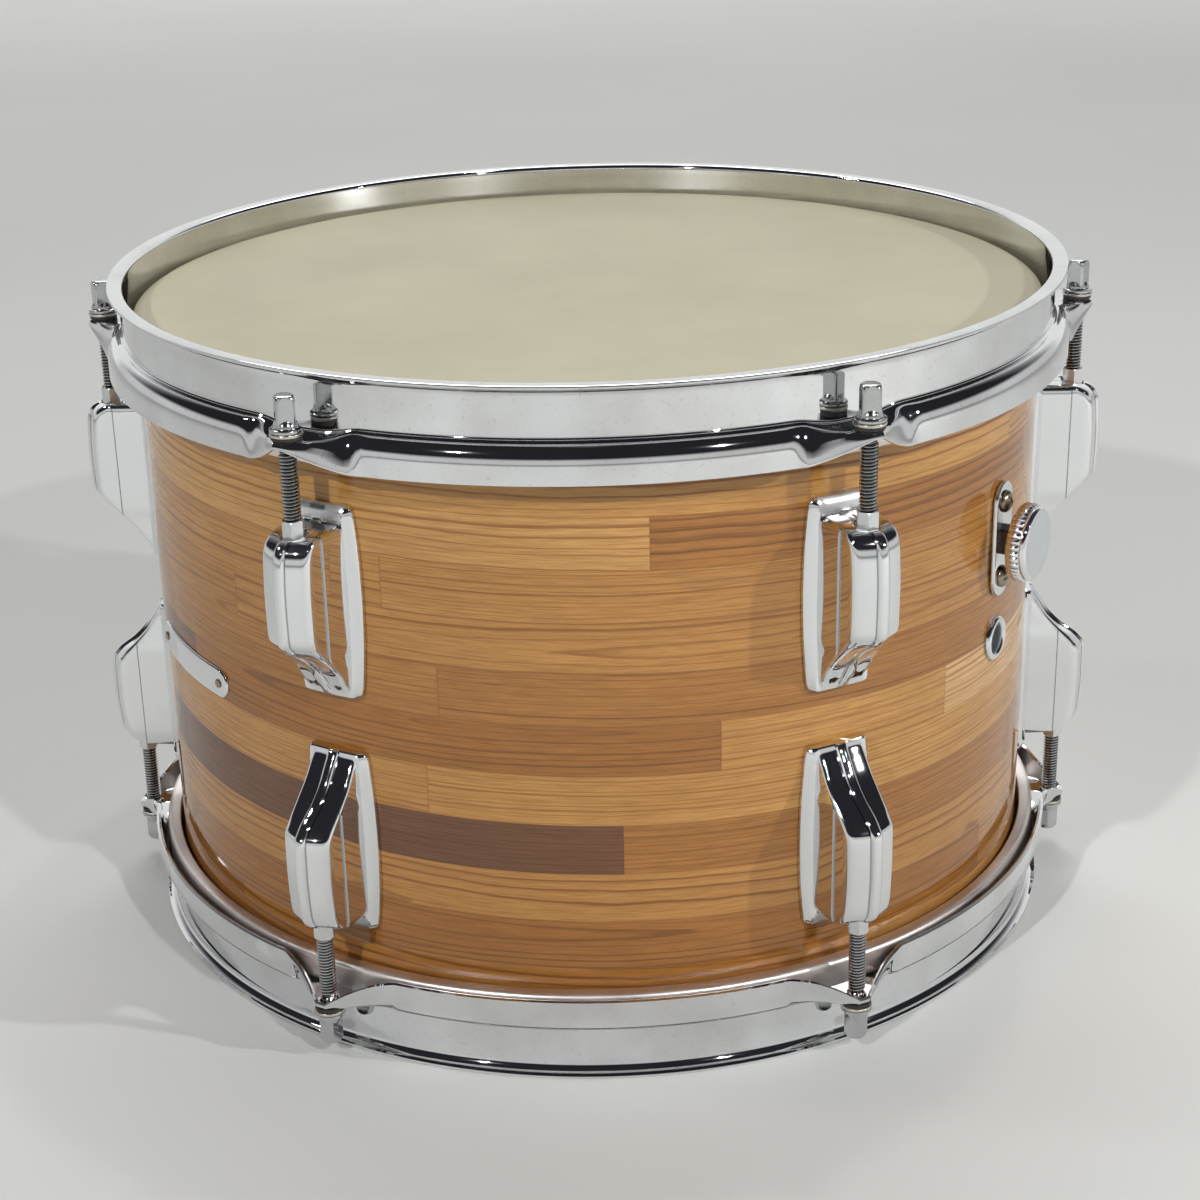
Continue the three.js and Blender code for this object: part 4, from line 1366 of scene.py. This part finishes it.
def grommet_mesh():
    """The vent's eyelet: a tube through the shell with a rounded lip outside."""
    outer = SHELL_RADIUS + 0.3
    return turned("grommet_fine", [
        (4.85, INNER_RADIUS), (5.15, INNER_RADIUS), (5.15, outer), (7.4, outer),
        *arc((6.15, outer), (1.3, 1.4), 0, 180, 14), (4.85, outer - 0.6),
    ], 72)


def add_vent():
    grommet = placed("grommet_fine", grommet_mesh(), out_of_shell(FITTING_ANGLE, VENT_CENTRE), CHROME,
                     "drum", ["vent_grommet"], "chrome")
    face_material(grommet.data, SATIN, lambda centre: math.hypot(centre.x, centre.y) < 5)


# The badge's place: a plain bar, pinned to the shell where the photograph shows a badge

def badge_mesh():
    """A bar with round ends and a rounded edge, bent to the shell."""
    straight = BADGE_HALF_LENGTH - BADGE_HALF_HEIGHT
    columns, rows = 60, 12
    low_edge = 0.3
    top, back = [], []
    for column in range(columns + 1):
        along = BADGE_HALF_LENGTH * math.sin(math.pi * (column / columns - 0.5))
        past = max(abs(along) - straight, 0)
        reach = math.sqrt(max(BADGE_HALF_HEIGHT ** 2 - past ** 2, 0))
        turn = along / SHELL_RADIUS
        for row in range(rows + 1):
            up = reach * math.sin(math.pi * (row / rows - 0.5))
            inset = min(max(BADGE_HALF_HEIGHT - math.hypot(past, up), 0) / BADGE_EDGE, 1)
            rise = low_edge + (BADGE_THICKNESS - low_edge) * math.sqrt(1 - (1 - inset) ** 2)
            for level, points in ((rise, top), (0.05, back)):
                radius = SHELL_RADIUS + level
                points.append((radius * math.cos(turn), radius * math.sin(turn), up))
    grid = grid_faces(columns + 1, rows + 1)
    count = len(top)
    faces = grid + [tuple(count + index for index in reversed(face)) for face in grid]
    for column in range(columns):
        for row in (0, rows):
            here = column * (rows + 1) + row
            after = here + rows + 1
            faces.append((here, after, count + after, count + here))
    return mesh_from("badge_plate", top + back, faces, 50)


def add_badge():
    bar = shifted(0, 0, BADGE_HEIGHT) @ round_z(BADGE_ANGLE)
    placed("badge_plate", badge_mesh(), bar, CHROME, "drum", [], "chrome")
    pin = dome_screw_mesh(1.5, 0.8, 0.3)
    for number, along in enumerate((-BADGE_PIN_PLACE, BADGE_PIN_PLACE)):
        on_axis = out_of_shell(BADGE_ANGLE + along / SHELL_RADIUS, BADGE_HEIGHT)
        pin_place = on_axis @ shifted(0, 0, SHELL_RADIUS + BADGE_THICKNESS - 0.05)
        placed(f"badge_pin_{number + 1}", pin.copy(), pin_place, NICKEL, "drum", [], "steel")


# Screws inside the shell that hold the lugs

def lug_screw_mesh():
    """A screw's head on its washer, standing on z = 0."""
    washer = [(0, -0.3), (6, -0.3), (6, 0.75), (5.7, 0.95), (4.2, 0.95)]
    head = [(4.15, 1.0), (4.15, 2.4), (3.9, 3.1), (3.2, 3.6), (0, 3.75)]
    return cut(turned("lug_screw", [*washer, *head], 36), [slot_cutter(5, 0.5, 2.6, 5)])


def add_lug_screws():
    screw = lug_screw_mesh()
    inward = shifted(0, 0, INNER_RADIUS) @ Matrix.Rotation(math.pi, 4, "X")
    for side, half in halves():
        for number in range(1, LUG_COUNT + 1):
            for place, depth in enumerate(LUG_SCREW_DEPTHS):
                on_axis = half @ out_of_shell((number - 1) * LUG_PITCH, HEIGHT - depth)
                matrix = on_axis @ inward @ round_z(0.7 * number + place)
                placed(f"{side}_lug_screw_{number}_{place + 1}", screw.copy(), matrix, ROD_STEEL,
                       "drum", [], "steel")


# Floor, lamps, world and camera

FLOOR_REACH = 9000
GLOW_START = 1900
GLOW_END = 5600
GLOW = 0.42


def add_floor():
    """A pale floor that stays pale far off, where no lamp reaches, for rays that look at it."""
    shader = Shader("floor")
    place = shader.place()
    cloud = shader.noise(place, 0.0015, 3)
    rays = shader.node("ShaderNodeLightPath").outputs
    mirrored = shader.plus(rays["Is Glossy Ray"], rays["Is Transmission Ray"])
    looking = shader.math("ADD", rays["Is Camera Ray"], mirrored, clamp=True)
    far = shader.node("ShaderNodeVectorMath", {"Vector": place}, operation="LENGTH").outputs["Value"]
    shader.set(
        Base_Color=shader.ramp(cloud, [(0.3, linear(203, 204, 201)), (0.7, linear(210, 211, 208))]),
        Roughness=0.7,
        Emission_Color=linear(250, 251, 248),
        Emission_Strength=shader.times(shader.ranged(far, GLOW_START, GLOW_END, 0, GLOW), looking),
    )
    shader.bump(shader.noise(place, 0.3, 2), 0.05, 0.05)
    corners = [(x * FLOOR_REACH, y * FLOOR_REACH, 0) for x, y in ((-1, -1), (1, -1), (1, 1), (-1, 1))]
    mesh = mesh_from("floor", corners, [(0, 1, 2, 3)])
    mesh.materials.append(shader.material)
    linked("floor", mesh)


def add_lamps():
    """Rectangular lamps: name, place, target, size and power, in metres and watts."""
    middle = (0, 0, 0.11)
    for name, place, target, size, power in (
        ("top_box", (0.25, 0.45, 1.9), middle, (0.1, 0.08), 3),
        ("left_box", (-1.5, 0.1, 1.7), middle, (0.12, 0.12), 3),
        ("right_box", (1.5, -0.6, 0.9), middle, (0.04, 0.04), 11),
        ("front_left", (-0.9, -1.55, 1.35), middle, (0.05, 0.05), 17),
        ("front_right", (0.95, -1.5, 1.35), middle, (0.04, 0.04), 14),
        ("back_wash", (-0.2, 2.8, 3.0), (-0.2, 2.9, 0), (3.0, 1.5), 58),
    ):
        data = bpy.data.lights.new(name, "AREA")
        data.shape = "RECTANGLE"
        data.size, data.size_y = size
        data.energy = power
        lamp = linked(name, data)
        lamp.location = place
        lamp.rotation_euler = (Vector(target) - Vector(place)).to_track_quat("-Z", "Y").to_euler()


def add_world():
    """A studio: bright behind the drum, pale low down all round, dim overhead and at both sides."""
    world = bpy.data.worlds.new("studio")
    scene.world = world
    world.use_nodes = True
    sky = Nodes(world.node_tree)
    direction = sky.node("ShaderNodeTexCoord").outputs["Generated"]
    axes = sky.node("ShaderNodeSeparateXYZ", {"Vector": direction}).outputs
    backward = sky.math("MULTIPLY_ADD", axes["Z"], -0.45, sky.times(axes["Y"], 0.9))
    level = sky.math("MULTIPLY_ADD", sky.size(axes["X"]), -1.25, backward)
    backdrop = sky.ramp(sky.math("MULTIPLY_ADD", level, 0.5, 0.5), [
        (0.12, (0.02, 0.02, 0.025)), (0.23, (0.13, 0.13, 0.14)), (0.33, (0.34, 0.34, 0.35)),
        (0.4, (0.6, 0.61, 0.61)), (0.48, (0.85, 0.86, 0.85)),
    ])
    low_band = sky.ranged(axes["Z"], 0.15, 0.28, 0.62, 0)
    sky.feed(sky.nodes["Background"].inputs["Color"], sky.mix(1.0, backdrop, low_band, "LIGHTEN"))


# The camera fitted to the photograph, in the drum's axes turned by a few degrees
CAMERA_TURN = math.radians(2.47)
CAMERA_PLACE = (-14.22, -785.7, 405.5)
CAMERA_DROP = math.radians(22.718)
CAMERA_ROLL = math.radians(-1.802)
FOCAL_PIXELS = 2339.5
IMAGE_PIXELS = 1200
PRINCIPAL_POINT = (555.8, 657.5)
SENSOR = 36


def add_camera():
    right = Vector((1, 0, 0))
    ahead = Vector((0, math.cos(CAMERA_DROP), -math.sin(CAMERA_DROP)))
    up = Vector((0, math.sin(CAMERA_DROP), math.cos(CAMERA_DROP)))
    rolled_right = right * math.cos(CAMERA_ROLL) + up * math.sin(CAMERA_ROLL)
    rolled_up = up * math.cos(CAMERA_ROLL) - right * math.sin(CAMERA_ROLL)
    axes = Matrix((rolled_right, rolled_up, -ahead)).transposed().to_4x4()
    data = bpy.data.cameras.new("camera")
    data.sensor_width = SENSOR
    data.lens = FOCAL_PIXELS * SENSOR / IMAGE_PIXELS
    data.shift_x = (IMAGE_PIXELS / 2 - PRINCIPAL_POINT[0]) / IMAGE_PIXELS
    data.shift_y = (PRINCIPAL_POINT[1] - IMAGE_PIXELS / 2) / IMAGE_PIXELS
    data.clip_start = 0.05
    data.clip_end = 50
    camera = linked("camera", data)
    camera.matrix_world = round_z(CAMERA_TURN) @ shifted(*CAMERA_PLACE) @ axes
    scene.camera = camera


add_camera()
scene.view_settings.view_transform = "Standard"
add_floor()
add_lamps()
add_world()
add_shell()
add_heads()
add_hoops()
add_tensioners()
add_lug_screws()
add_muffler()
add_vent()
add_badge()
